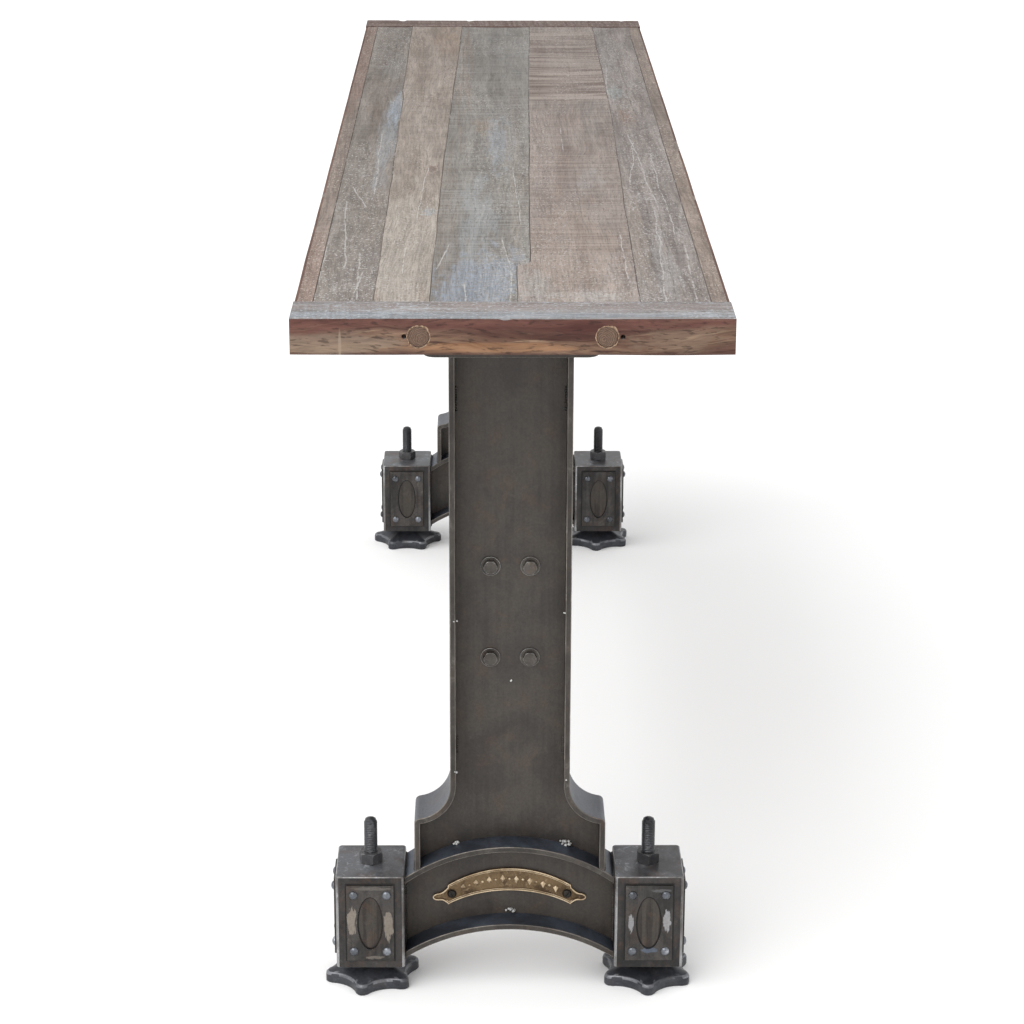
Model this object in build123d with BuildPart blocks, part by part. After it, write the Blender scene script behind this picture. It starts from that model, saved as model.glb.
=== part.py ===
from build123d import *
from math import acos, asin, atan2, cos, degrees, radians
import os

os.makedirs("parts", exist_ok=True)

# A long narrow plank table on two fabricated steel pedestals. +X runs along the table,
# +Y across it and +Z up, with the origin on the floor under the middle of the table.
# Right is the +X end, left the -X end, front the -Y side and back the +Y side.

# overall size
table_length = 1778.0
table_width = 406.4
table_height = 762.0

# wooden top: five tapered planks framed by two thin side rails and two end boards
top_thickness = 35.0
end_board_width = 63.0
side_rail_width = 18.0
plank_seams = [(-128.0, -134.0), (-78.0, -60.0), (7.0, 39.0), (119.0, 132.0)]  # y at right, left end

# cross battens under the top, screwed up into every plank
batten_width = 100.0
batten_length = 370.0
batten_height = 36.0
batten_screw_rows = [-157.0, -100.0, -25.0, 72.0, 156.0]
batten_screw_spread = 80.0
batten_screw_length = 60.0
batten_screw_radius = 2.25
batten_screw_head_radius = 4.5

# lag screws through the end boards, their heads hidden under wooden plugs
end_screw_spread = 172.0
end_screw_radius = 3.0
end_screw_length = 84.0
end_screw_head_radius = 7.0
end_screw_head_height = 6.0
plug_radius = 10.0
plug_length = 10.0

# steel pedestals
leg_reach = 700.0
steel = 6.0
flange_depth = 60.0
post_half_width = 61.0
shoulder_half_width = 98.0
shoulder_radius = 37.0
shoulder_level = 229.0
shoulder_rounding = 6.0
top_plate_length = 170.0
top_plate_width = 70.0
top_plate_thickness = 8.0
top_plate_rounding = 12.0
plate_screw_spread_x = 40.0
plate_screw_spread_y = 146.0
plate_screw_radius = 3.25
plate_screw_head_radius = 6.0
plate_screw_length = 38.0

# arched foot beam, an I section bent between the two foot boxes
upper_crown = 160.5
upper_radius = 187.0
lower_crown = 72.5
lower_radius = 203.0

# foot boxes, hollow, with a threaded tube for the levelling stud
foot_depth = 78.0
foot_width = 71.0
foot_bottom = 28.0
foot_top = 131.0
foot_offset = 144.0
foot_corner = 4.0
foot_edge = 1.5
stud_tube_radius = 13.0

# riveted panels with an oval window on three faces of each foot box
panel_width = 48.5
panel_height = 85.0
panel_thickness = 2.5
oval_width = 27.0
oval_height = 60.0
rivet_spread_x = 34.0
rivet_spread_y = 64.0
rivet_head_radius = 3.75
rivet_head_height = 3.0
rivet_shank_radius = 2.0

# brass name plate on the arch of each pedestal
name_plate_thickness = 3.0
name_plate_level = -11.0
name_plate_inner_radius = 111.0
name_plate_outer_radius = 136.0
name_plate_half_length = 64.0
name_plate_tip = 76.5
name_plate_tip_level = 92.0
name_plate_tip_rounding = 3.5
name_plate_shoulder_top = 102.5
name_plate_shoulder_bottom = 85.0
name_plate_screw_reach = 60.0
name_plate_screw_level = 96.0
name_plate_screw_radius = 2.0
name_plate_screw_head_radius = 5.0
name_plate_screw_head_height = 2.0
name_plate_screw_chamfer = 0.65

# levelling feet, M14 studs with a pitch of 2
stud_radius = 7.0
running_clearance = 0.05
stud_top = 181.0
stud_dome = 5.0
locknut_flats = 22.0
locknut_height = 12.0
locknut_chamfer = 1.6
pad_reach = 50.5
pad_valley_radius = 38.0
pad_tip_rounding = 7.0
pad_tips = 6
pad_edge_height = 12.0
pad_edge_rounding = 2.0
pad_cone_radius = 33.0
pad_hub_radius = 15.0
pad_hub_top = 27.0
pad_socket_floor = 6.0
stud_foot_gap = 0.3

# stretcher between the pedestals, an I beam on bolted end plates, M8 fasteners
stretcher_level = 409.0
stretcher_height = 74.0
stretcher_width = 60.0
end_plate_width = 80.0
end_plate_height = 122.0
end_plate_thickness = 8.0
bolt_spread_y = 40.0
bolt_spread_z = 98.0
bolt_radius = 4.0
bolt_hole_radius = 4.5
bolt_flats = 13.0
bolt_head_height = 5.3
bolt_end = 3.0
bolt_chamfer = 0.85
nut_height = 6.5
washer_radius = 10.0
washer_hole_radius = 4.2
washer_thickness = 1.8

# levels and reaches that follow from the sizes above
stud_bore_radius = stud_radius + running_clearance
top_underside = table_height - top_thickness
batten_underside = top_underside - batten_height
plate_underside = batten_underside - top_plate_thickness
plank_reach = table_length / 2 - end_board_width
plank_side = table_width / 2 - side_rail_width
plug_level = table_height - top_thickness / 2
upper_centre = upper_crown - upper_radius
lower_centre = lower_crown - lower_radius
foot_middle = (foot_bottom + foot_top) / 2
foot_height = foot_top - foot_bottom
arch_span = 2 * foot_offset - foot_width
bottom_up = (Align.CENTER, Align.CENTER, Align.MIN)
top_down = (Align.CENTER, Align.CENTER, Align.MAX)
ends = {"right": 1, "left": -1}
sides = {"front": -1, "back": 1}

# how each levelling foot has been left turned: locknut and star pad, degrees
foot_turns = {
    ("right", "front"): (11.0, -12.0),
    ("right", "back"): (2.0, 0.0),
    ("left", "front"): (24.0, 30.0),
    ("left", "back"): (6.0, -4.0),
}


def save(piece, name):
    """Label a finished piece and write it as its own file."""
    piece.part.label = name
    export_step(piece.part, f"parts/{name}.step")


def outward_plane(x, y, z, normal):
    """A plane standing upright at a point, facing along `normal`, with its own y axis up."""
    normal = Vector(normal)
    return Plane((x, y, z), x_dir=Vector(0, 0, 1).cross(normal), z_dir=normal)


def leg_section(leg_x, side=1):
    """The plane through a pedestal's middle, with its x axis towards the back or the front."""
    return Plane((leg_x, 0, 0), x_dir=(0, side, 0), z_dir=(side, 0, 0))


def places(plane, spread_x, spread_y):
    """The four corners of a rectangle of fasteners, centred on a plane."""
    corners = [(x, y) for x in (-0.5, 0.5) for y in (-0.5, 0.5)]
    return [plane.location * Pos(x * spread_x, y * spread_y, 0) for x, y in corners]


def group(piece, locations):
    """Identical separate fasteners, one at each place."""
    with BuildPart() as fasteners:
        with Locations(*locations):
            add(piece.part)
    return fasteners


def countersunk_screw(shank, head, length):
    """A flat-headed screw, its head's face at z 0 and its point up."""
    with BuildPart() as screw:
        Cone(head, shank, head - shank, align=bottom_up)
        Cylinder(shank, length, align=bottom_up)
    return screw


def hexagon(flats, height, chamfer_length, turn=0.0):
    """A hexagonal blank turned from round bar, its corners chamfered at both ends."""
    with BuildPart() as blank:
        Cylinder(flats / 3 ** 0.5, height, align=bottom_up)
        chamfer(blank.edges().filter_by(GeomType.CIRCLE), length=chamfer_length)
        with BuildSketch():
            RegularPolygon(flats / 2, 6, major_radius=False, rotation=turn)
        extrude(amount=height, mode=Mode.INTERSECT)
    return blank


# screws that hold the top together, made first because the wood is bored for them
batten_places = [
    Pos(batten_x + x, y, batten_underside)
    for batten_x in (leg_reach, 0.0, -leg_reach)
    for x in (-batten_screw_spread / 2, batten_screw_spread / 2)
    for y in batten_screw_rows
]
batten_screws = group(
    countersunk_screw(batten_screw_radius, batten_screw_head_radius, batten_screw_length), batten_places
)
save(batten_screws, "batten_screws")

plate_screw_places = [
    Pos(end * leg_reach + x * plate_screw_spread_x, y * plate_screw_spread_y, plate_underside)
    for end in ends.values()
    for x in (-0.5, 0.5)
    for y in (-0.5, 0.5)
]
top_plate_screws = group(
    countersunk_screw(plate_screw_radius, plate_screw_head_radius, plate_screw_length), plate_screw_places
)
save(top_plate_screws, "top_plate_screws")

with BuildPart() as lag_screw:
    with Locations((0, 0, -plug_length)):
        Cylinder(end_screw_head_radius, end_screw_head_height, align=top_down)
    with Locations((0, 0, -plug_length - end_screw_head_height)):
        Cylinder(end_screw_radius, end_screw_length, align=top_down)
end_screw_places = [
    outward_plane(end * table_length / 2, y * end_screw_spread / 2, plug_level, (end, 0, 0)).location
    for end in ends.values()
    for y in (-1, 1)
]
end_board_screws = group(lag_screw, end_screw_places)
save(end_board_screws, "end_board_screws")

with BuildPart() as plug:
    Cylinder(plug_radius, plug_length, align=top_down)
end_plugs = group(plug, end_screw_places)
save(end_plugs, "end_plugs")

with BuildPart() as plug_pocket:
    Cylinder(plug_radius, plug_length + end_screw_head_height, align=top_down)
plug_pockets = group(plug_pocket, end_screw_places)

# five planks, each running the whole way between the end boards and tapering like its neighbours
plank_lines = [(-plank_side, -plank_side)] + plank_seams + [(plank_side, plank_side)]
for number in range(1, len(plank_lines)):
    front_line = plank_lines[number - 1]
    back_line = plank_lines[number]
    with BuildPart() as plank:
        with BuildSketch(Plane.XY.offset(top_underside)):
            Polygon(
                (plank_reach, front_line[0]),
                (plank_reach, back_line[0]),
                (-plank_reach, back_line[1]),
                (-plank_reach, front_line[1]),
                align=None,
            )
        extrude(amount=top_thickness)
        add(batten_screws.part, mode=Mode.SUBTRACT)
        add(end_board_screws.part, mode=Mode.SUBTRACT)
    save(plank, f"plank_{number}")

for side_name, side in sides.items():
    with BuildPart() as side_rail:
        with Locations((0, side * (plank_side + side_rail_width / 2), top_underside)):
            Box(2 * plank_reach, side_rail_width, top_thickness, align=bottom_up)
    save(side_rail, f"side_rail_{side_name}")

for end_name, end in ends.items():
    with BuildPart() as end_board:
        with Locations((end * (plank_reach + end_board_width / 2), 0, top_underside)):
            Box(end_board_width, table_width, top_thickness, align=bottom_up)
        add(plug_pockets.part, mode=Mode.SUBTRACT)
        add(end_board_screws.part, mode=Mode.SUBTRACT)
    save(end_board, f"end_board_{end_name}")

for batten_name, batten_x in {"right": leg_reach, "middle": 0.0, "left": -leg_reach}.items():
    with BuildPart() as batten:
        with Locations((batten_x, 0, batten_underside)):
            Box(batten_width, batten_length, batten_height, align=bottom_up)
        add(batten_screws.part, mode=Mode.SUBTRACT)
        add(top_plate_screws.part, mode=Mode.SUBTRACT)
    save(batten, f"batten_{batten_name}")


def shoulder_line(inset):
    """One face of a post flange from the top plate to below the arch, `inset` in from outside."""
    radius = shoulder_radius + inset
    turn = degrees(acos(inset / radius))
    post = Line((post_half_width - inset, plate_underside), (post_half_width - inset, shoulder_level))
    sweep_line = CenterArc((shoulder_half_width, shoulder_level), radius, 180, turn)
    drop = Line(sweep_line @ 1, (shoulder_half_width - inset, 0))
    return post @ 0, drop @ 1


def cut_to_arch():
    """Cut what is being drawn to the top of the arched foot beam."""
    with Locations((0, upper_centre)):
        Circle(upper_radius, mode=Mode.SUBTRACT)


def post_flange(leg_x, side):
    with BuildPart() as flange:
        with BuildSketch(leg_section(leg_x, side)) as profile:
            with BuildLine():
                outer_top, outer_foot = shoulder_line(0)
                inner_top, inner_foot = shoulder_line(steel)
                Line(outer_top, inner_top)
                Line(outer_foot, inner_foot)
            make_face()
            shoulder_corner = profile.vertices().group_by(Axis.X)[-1].sort_by(Axis.Y)[-1]
            fillet(shoulder_corner, radius=shoulder_rounding)
            cut_to_arch()
        extrude(amount=flange_depth / 2, both=True)
    return flange


def post_web(leg_x):
    with BuildPart() as web:
        with BuildSketch(leg_section(leg_x)):
            with BuildLine():
                top, foot = shoulder_line(steel)
                Polyline(top, (0, plate_underside), (0, 0), foot)
            make_face()
            cut_to_arch()
            mirror(about=Plane.YZ)
            with Locations((0, stretcher_level)):
                with GridLocations(bolt_spread_y, bolt_spread_z, 2, 2):
                    Circle(bolt_hole_radius, mode=Mode.SUBTRACT)
        extrude(amount=steel / 2, both=True)
    return web


def arch_flange(leg_x, centre, radius):
    """A strip bent to the arch's curve, its outer face at `radius`."""
    with BuildPart() as flange:
        with BuildSketch(leg_section(leg_x)):
            with Locations((0, centre)):
                Circle(radius)
                Circle(radius - steel, mode=Mode.SUBTRACT)
            Rectangle(arch_span, upper_crown, align=(Align.CENTER, Align.MIN), mode=Mode.INTERSECT)
        extrude(amount=flange_depth / 2, both=True)
    return flange


def arch_web(leg_x, outer_x, name_plate_screws):
    with BuildPart() as web:
        with BuildSketch(leg_section(leg_x)):
            Rectangle(arch_span, upper_crown, align=(Align.CENTER, Align.MIN))
            with Locations((0, upper_centre)):
                Circle(upper_radius - steel, mode=Mode.INTERSECT)
            with Locations((0, lower_centre)):
                Circle(lower_radius, mode=Mode.SUBTRACT)
        extrude(amount=steel / 2, both=True)
        add(name_plate_screws.part, mode=Mode.SUBTRACT)
    return web


def top_plate(leg_x):
    with BuildPart() as plate:
        with BuildSketch(Plane.XY.offset(plate_underside)):
            with Locations((leg_x, 0)):
                RectangleRounded(top_plate_width, top_plate_length, top_plate_rounding)
        extrude(amount=top_plate_thickness)
        add(top_plate_screws.part, mode=Mode.SUBTRACT)
    return plate


def foot_faces(leg_x, foot_y):
    """The planes of a foot box's three panelled faces, centred on each face."""
    outward = 1 if foot_y > 0 else -1
    return [
        outward_plane(leg_x + foot_depth / 2, foot_y, foot_middle, (1, 0, 0)),
        outward_plane(leg_x - foot_depth / 2, foot_y, foot_middle, (-1, 0, 0)),
        outward_plane(leg_x, foot_y + outward * foot_width / 2, foot_middle, (0, outward, 0)),
    ]


def foot_box(leg_x, foot_y):
    with BuildPart() as box:
        with Locations((leg_x, foot_y, foot_middle)):
            Box(foot_depth, foot_width, foot_height)
        fillet(box.edges().filter_by(Axis.Z), radius=foot_corner)
        fillet(box.faces().sort_by(Axis.Z)[-1].edges(), radius=foot_edge)
        with Locations((leg_x, foot_y, foot_middle)):
            hollow = [size - 2 * steel for size in (foot_depth, foot_width, foot_height)]
            Box(*hollow, mode=Mode.SUBTRACT)
            Cylinder(stud_tube_radius, foot_height - steel)
            Cylinder(stud_bore_radius, foot_height, mode=Mode.SUBTRACT)
        add(panel_rivets.part, mode=Mode.SUBTRACT)
    return box


# domed rivets, four through each panel into the wall of its foot box
dome_radius = (rivet_head_radius ** 2 + rivet_head_height ** 2) / (2 * rivet_head_height)
dome_centre = rivet_head_height - dome_radius
dome_start = degrees(asin(dome_centre / dome_radius))
shank_foot = -panel_thickness - steel
with BuildPart() as rivet:
    with BuildSketch(Plane.XZ):
        with BuildLine():
            dome = CenterArc((0, dome_centre), dome_radius, -dome_start, 90 + dome_start)
            Polyline(
                dome @ 1,
                (0, shank_foot),
                (rivet_shank_radius, shank_foot),
                (rivet_shank_radius, 0),
                dome @ 0,
            )
        make_face()
    revolve(axis=Axis.Z)
all_faces = [
    face
    for end in ends.values()
    for side in sides.values()
    for face in foot_faces(end * leg_reach, side * foot_offset)
]
rivet_places = [
    place
    for face in all_faces
    for place in places(face.offset(panel_thickness), rivet_spread_x, rivet_spread_y)
]
panel_rivets = group(rivet, rivet_places)
save(panel_rivets, "panel_rivets")

# slotted screws of the name plates, drawn on the outer face of the arch web
with BuildPart() as plate_screw:
    with Locations((0, 0, name_plate_thickness)):
        Cylinder(name_plate_screw_head_radius, name_plate_screw_head_height, align=bottom_up)
    chamfer(plate_screw.edges().sort_by(Axis.Z)[-1], length=name_plate_screw_chamfer)
    with Locations((0, 0, -steel)):
        Cylinder(name_plate_screw_radius, steel + name_plate_thickness, align=bottom_up)
name_plate_planes = {
    end_name: outward_plane(end * (leg_reach + steel / 2), 0, 0, (end, 0, 0))
    for end_name, end in ends.items()
}
name_plate_screw_places = [
    plane.location * Pos(y * name_plate_screw_reach, name_plate_screw_level, 0)
    for plane in name_plate_planes.values()
    for y in (-1, 1)
]
name_plate_screws = group(plate_screw, name_plate_screw_places)
save(name_plate_screws, "name_plate_screws")

for end_name, end in ends.items():
    leg_x = end * leg_reach
    save(post_web(leg_x), f"{end_name}_post_web")
    save(arch_web(leg_x, end, name_plate_screws), f"{end_name}_arch_web")
    save(arch_flange(leg_x, upper_centre, upper_radius), f"{end_name}_arch_upper_flange")
    save(arch_flange(leg_x, lower_centre, lower_radius), f"{end_name}_arch_lower_flange")
    save(top_plate(leg_x), f"{end_name}_top_plate")
    for side_name, side in sides.items():
        save(post_flange(leg_x, side), f"{end_name}_post_flange_{side_name}")
        save(foot_box(leg_x, side * foot_offset), f"{end_name}_foot_box_{side_name}")

    panelled = [face for side in sides.values() for face in foot_faces(leg_x, side * foot_offset)]
    with BuildPart() as foot_panels:
        with BuildSketch(*panelled):
            Rectangle(panel_width, panel_height)
            Ellipse(oval_width / 2, oval_height / 2, mode=Mode.SUBTRACT)
        extrude(amount=panel_thickness)
        add(panel_rivets.part, mode=Mode.SUBTRACT)
    save(foot_panels, f"{end_name}_foot_panels")

    # a band between two arcs, drawn out to a rounded point at each end
    with BuildPart() as name_plate:
        with BuildSketch(name_plate_planes[end_name]) as band:
            with Locations((0, name_plate_level)):
                Circle(name_plate_outer_radius)
                Circle(name_plate_inner_radius, mode=Mode.SUBTRACT)
            with Locations((0, upper_crown / 2)):
                Rectangle(2 * name_plate_half_length, upper_crown, mode=Mode.INTERSECT)
            for side in sides.values():
                with Locations((side * name_plate_tip, name_plate_tip_level)):
                    Circle(name_plate_tip_rounding)
                Polygon(
                    (side * name_plate_tip, name_plate_tip_level + name_plate_tip_rounding),
                    (side * name_plate_half_length, name_plate_shoulder_top),
                    (side * name_plate_half_length, name_plate_shoulder_bottom),
                    (side * name_plate_tip, name_plate_tip_level - name_plate_tip_rounding),
                    align=None,
                )
        extrude(amount=name_plate_thickness)
        add(name_plate_screws.part, mode=Mode.SUBTRACT)
    save(name_plate, f"{end_name}_name_plate")


def star_outline(turn):
    """Rounded tips joined by hollow sides, every arc running tangent into the next."""
    half_step = radians(180 / pad_tips)
    tip_centre = pad_reach - pad_tip_rounding
    slack = tip_centre * cos(half_step) + pad_tip_rounding - pad_valley_radius
    side_radius = (
        pad_valley_radius ** 2
        + tip_centre ** 2
        - pad_tip_rounding ** 2
        - 2 * tip_centre * pad_valley_radius * cos(half_step)
    ) / (2 * slack)
    side_centre = Vector(pad_valley_radius + side_radius, 0).rotate(Axis.Z, degrees(half_step))
    tip = Vector(tip_centre, 0)
    join = tip + (side_centre - tip).normalized() * pad_tip_rounding
    join_angle = degrees(atan2(join.Y, join.X))
    for number in range(pad_tips):
        angle = turn + number * degrees(2 * half_step)
        before, crown, after, valley, following = [
            Vector(reach, 0).rotate(Axis.Z, angle + offset)
            for reach, offset in (
                (join.length, -join_angle),
                (pad_reach, 0),
                (join.length, join_angle),
                (pad_valley_radius, degrees(half_step)),
                (join.length, degrees(2 * half_step) - join_angle),
            )
        ]
        ThreePointArc(before, crown, after)
        ThreePointArc(after, valley, following)


# levelling feet: a domed stud through the foot box, its locknut on top and a star pad below
for end_name, end in ends.items():
    for side_name, side in sides.items():
        foot_x = end * leg_reach
        foot_y = side * foot_offset
        nut_turn, pad_turn = foot_turns[end_name, side_name]
        corner_name = f"{end_name}_{side_name}"

        with BuildPart() as stud:
            with Locations((foot_x, foot_y, pad_socket_floor + stud_foot_gap)):
                Cylinder(stud_radius, stud_top - pad_socket_floor - stud_foot_gap, align=bottom_up)
            fillet(stud.edges().sort_by(Axis.Z)[-1], radius=stud_dome)
        save(stud, f"leveller_stud_{corner_name}")

        locknut_blank = hexagon(locknut_flats, locknut_height, locknut_chamfer, nut_turn)
        with BuildPart() as locknut:
            with Locations((foot_x, foot_y, foot_top)):
                add(locknut_blank.part)
                Cylinder(stud_bore_radius, locknut_height, align=bottom_up, mode=Mode.SUBTRACT)
        save(locknut, f"locknut_{corner_name}")

        with BuildPart() as pad:
            with BuildSketch(Plane.XY * Pos(foot_x, foot_y, 0)):
                with BuildLine():
                    star_outline(pad_turn)
                make_face()
            extrude(amount=pad_edge_height)
            fillet(pad.faces().sort_by(Axis.Z)[-1].edges(), radius=pad_edge_rounding)
            with Locations((foot_x, foot_y, pad_edge_height)):
                Cone(pad_cone_radius, pad_hub_radius, pad_hub_top - pad_edge_height, align=bottom_up)
            with Locations((foot_x, foot_y, pad_socket_floor)):
                Cylinder(stud_bore_radius, pad_hub_top, align=bottom_up, mode=Mode.SUBTRACT)
        save(pad, f"leveller_pad_{corner_name}")

# stretcher between the pedestals
with BuildPart() as stretcher_beam:
    with BuildSketch(Plane.YZ):
        with Locations((0, stretcher_level)):
            Rectangle(stretcher_width, stretcher_height)
        with Locations((-stretcher_width / 2, stretcher_level), (stretcher_width / 2, stretcher_level)):
            Rectangle(stretcher_width - steel, stretcher_height - 2 * steel, mode=Mode.SUBTRACT)
    extrude(amount=leg_reach - steel / 2 - end_plate_thickness, both=True)
save(stretcher_beam, "stretcher_beam")

plate_planes = {
    end_name: outward_plane(end * (leg_reach - steel / 2), 0, stretcher_level, (end, 0, 0))
    for end_name, end in ends.items()
}
for end_name, plane in plate_planes.items():
    with BuildPart() as end_plate:
        with BuildSketch(plane):
            Rectangle(end_plate_width, end_plate_height)
            with GridLocations(bolt_spread_y, bolt_spread_z, 2, 2):
                Circle(bolt_hole_radius, mode=Mode.SUBTRACT)
        extrude(amount=-end_plate_thickness)
    save(end_plate, f"stretcher_end_plate_{end_name}")

# bolts from outside the web, with z 0 of each fastener on the outer face of the web
grip = steel + end_plate_thickness
shank_end = -grip - washer_thickness - nut_height - bolt_end
bolt_blank = hexagon(bolt_flats, bolt_head_height, bolt_chamfer)
with BuildPart() as bolt:
    with Locations((0, 0, washer_thickness)):
        add(bolt_blank.part)
    with Locations((0, 0, shank_end)):
        Cylinder(bolt_radius, washer_thickness - shank_end, align=bottom_up)
    chamfer(bolt.edges().sort_by(Axis.Z)[0], length=bolt_chamfer)

with BuildPart() as washer_pair:
    with BuildSketch(Plane.XY, Plane.XY.offset(-grip - washer_thickness)):
        Circle(washer_radius)
        Circle(washer_hole_radius, mode=Mode.SUBTRACT)
    extrude(amount=washer_thickness)

nut_blank = hexagon(bolt_flats, nut_height, bolt_chamfer)
with BuildPart() as nut:
    with Locations((0, 0, -grip - washer_thickness - nut_height)):
        add(nut_blank.part)
        Cylinder(bolt_radius, nut_height, align=bottom_up, mode=Mode.SUBTRACT)

bolt_places = [
    place
    for plane in plate_planes.values()
    for place in places(plane.offset(steel), bolt_spread_y, bolt_spread_z)
]
save(group(bolt, bolt_places), "stretcher_bolts")
save(group(washer_pair, bolt_places), "stretcher_washers")
save(group(nut, bolt_places), "stretcher_nuts")
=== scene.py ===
import bpy
import math
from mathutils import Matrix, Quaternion, Vector, noise


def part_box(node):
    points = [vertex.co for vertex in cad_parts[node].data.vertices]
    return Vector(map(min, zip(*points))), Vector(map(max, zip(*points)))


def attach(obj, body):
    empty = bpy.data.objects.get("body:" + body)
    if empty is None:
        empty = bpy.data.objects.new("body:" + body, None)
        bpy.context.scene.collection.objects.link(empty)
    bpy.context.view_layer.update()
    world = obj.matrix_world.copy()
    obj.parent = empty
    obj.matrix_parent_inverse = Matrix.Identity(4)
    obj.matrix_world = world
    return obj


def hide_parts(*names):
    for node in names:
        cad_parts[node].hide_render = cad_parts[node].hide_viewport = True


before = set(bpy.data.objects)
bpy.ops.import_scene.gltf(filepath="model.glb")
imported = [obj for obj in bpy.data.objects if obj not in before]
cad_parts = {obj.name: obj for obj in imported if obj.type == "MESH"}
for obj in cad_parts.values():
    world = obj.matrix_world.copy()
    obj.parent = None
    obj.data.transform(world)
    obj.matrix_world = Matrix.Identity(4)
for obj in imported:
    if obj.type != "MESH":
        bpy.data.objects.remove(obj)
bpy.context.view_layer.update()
print("frame loaded:", len(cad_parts), "nodes")
noise.seed_set(7)  # else noise_vector starts from the clock

ends = {"right": 1, "left": -1}  # the two pedestals, by the sign of X
sides = {"front": -1, "back": 1}  # the two feet of each, by the sign of Y


def clearSelection():
    if bpy.context.object and bpy.context.object.mode != "OBJECT":
        bpy.ops.object.mode_set(mode="OBJECT")
    bpy.ops.object.select_all(action="DESELECT")


def pick(*objs):
    clearSelection()
    for obj in objs:
        obj.select_set(True)
    bpy.context.view_layer.objects.active = objs[-1]
    return objs[-1]


def selectParts(obj, test, kind="FACE"):
    # goes into edit mode with only the faces (or points) that pass the test selected
    pick(obj)
    bpy.ops.object.mode_set(mode="EDIT")
    bpy.ops.mesh.select_mode(type=kind)
    bpy.ops.mesh.select_all(action="DESELECT")
    bpy.ops.object.mode_set(mode="OBJECT")
    if kind == "FACE":
        for face in obj.data.polygons:
            face.select = test(face.center, face.normal)
    else:
        for point in obj.data.vertices:
            point.select = test(point.co)
    bpy.ops.object.mode_set(mode="EDIT")


def leaveEdit():
    bpy.ops.object.mode_set(mode="OBJECT")


def mergeMesh(obj, distance=0.00002, recalc=False):
    selectParts(obj, lambda centre, normal: True)
    bpy.ops.mesh.remove_doubles(threshold=distance)
    if recalc:
        bpy.ops.mesh.normals_make_consistent(inside=False)
    leaveEdit()


def freeze(obj):
    pick(obj)
    bpy.ops.object.transform_apply(location=True, rotation=True, scale=True)
    return obj


def applyModifier(obj, kind, **settings):
    pick(obj)
    made = obj.modifiers.new(kind.title(), kind)
    for key, value in settings.items():
        setattr(made, key, value)
    bpy.ops.object.modifier_apply(modifier=made.name)


def rounded(obj, width, segments=2, angle=35, edgeSlot=-1, smooth=45):
    # bevels the sharp edges, with the bevel faces in a material of their own
    applyModifier(obj, "BEVEL", width=width, segments=segments, limit_method="ANGLE",
                  angle_limit=math.radians(angle), material=edgeSlot, use_clamp_overlap=True)
    pick(obj)
    bpy.ops.object.shade_smooth_by_angle(angle=math.radians(smooth))
    applyModifier(obj, "WEIGHTED_NORMAL", keep_sharp=True)


def dress(obj, *looks):
    obj.data.materials.clear()
    for look in looks:
        obj.data.materials.append(look)


def dressFaces(obj, slotNumber, test):
    for face in obj.data.polygons:
        if test(face.center, face.normal):
            face.material_index = slotNumber


def settle(obj, name, body="root", stands=()):
    # names the finished piece and hangs it on its body
    freeze(obj)
    obj.name = name
    obj.data.name = name
    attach(obj, body)
    if stands:
        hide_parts(*stands)
    return obj


def nodeCopy(node):
    # a merged copy of a node's own mesh, to bevel and detail
    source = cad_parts[node]
    obj = bpy.data.objects.new(node + "_work", source.data.copy())
    bpy.context.collection.objects.link(obj)
    pick(obj)
    bpy.ops.mesh.customdata_custom_splitnormals_clear()
    bpy.ops.object.mode_set(mode="EDIT")
    bpy.ops.mesh.select_all(action="SELECT")
    bpy.ops.mesh.remove_doubles(threshold=0.00001)
    bpy.ops.mesh.dissolve_limited(angle_limit=math.radians(1.0))
    bpy.ops.object.mode_set(mode="OBJECT")
    return obj


def joinAll(objs):
    pick(*objs)
    if len(objs) > 1:
        bpy.ops.object.join()
    return bpy.context.view_layer.objects.active


def copyOf(obj):
    made = obj.copy()
    made.data = obj.data.copy()
    bpy.context.collection.objects.link(made)
    return made


def nodeBox(node):
    low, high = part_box(node)
    return Vector(low), Vector(high)


def ripple(x, y, z):
    return noise.noise(Vector((x, y, z)))  # -1 to 1, even over about one unit


def tone(red, green, blue):
    # a colour as a paint program shows it, 0 to 255, made linear
    def linear(value):
        value = value / 255
        return value / 12.92 if value <= 0.04045 else ((value + 0.055) / 1.055) ** 2.4
    return (linear(red), linear(green), linear(blue), 1.0)


def add(tree, kind, inputs=None, **settings):
    made = tree.nodes.new("ShaderNode" + kind)
    for key, value in settings.items():
        setattr(made, key, value)
    for key, value in (inputs or {}).items():
        if isinstance(value, bpy.types.NodeSocket):
            tree.links.new(value, made.inputs[key])
        else:
            made.inputs[key].default_value = value
    return made


def calc(tree, operation, a, b=0.0, clamp=False):
    return add(tree, "Math", {0: a, 1: b}, operation=operation, use_clamp=clamp).outputs[0]


def times(tree, a, b, clamp=False):
    return calc(tree, "MULTIPLY", a, b, clamp)


def plus(tree, a, b, clamp=False):
    return calc(tree, "ADD", a, b, clamp)


def minus(tree, a, b, clamp=False):
    return calc(tree, "SUBTRACT", a, b, clamp)


def shifted(tree, vector, offset):
    return add(tree, "VectorMath", {0: vector, 1: offset}, operation="ADD").outputs[0]


def blend(tree, factor, a, b, mode="MIX"):
    return add(tree, "Mix", {0: factor, 6: a, 7: b}, data_type="RGBA", blend_type=mode).outputs[2]


def fade(tree, value, low, high, lowOut=0.0, highOut=1.0):
    # smooth step from low to high
    made = add(tree, "MapRange", {"Value": value, "From Min": low, "From Max": high,
                                  "To Min": lowOut, "To Max": highOut})
    made.interpolation_type = "SMOOTHSTEP"
    return made.outputs[0]


def stretch(tree, vector, x, y, z):
    return add(tree, "VectorMath", {0: vector, 1: (x, y, z)}, operation="MULTIPLY").outputs[0]


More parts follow.
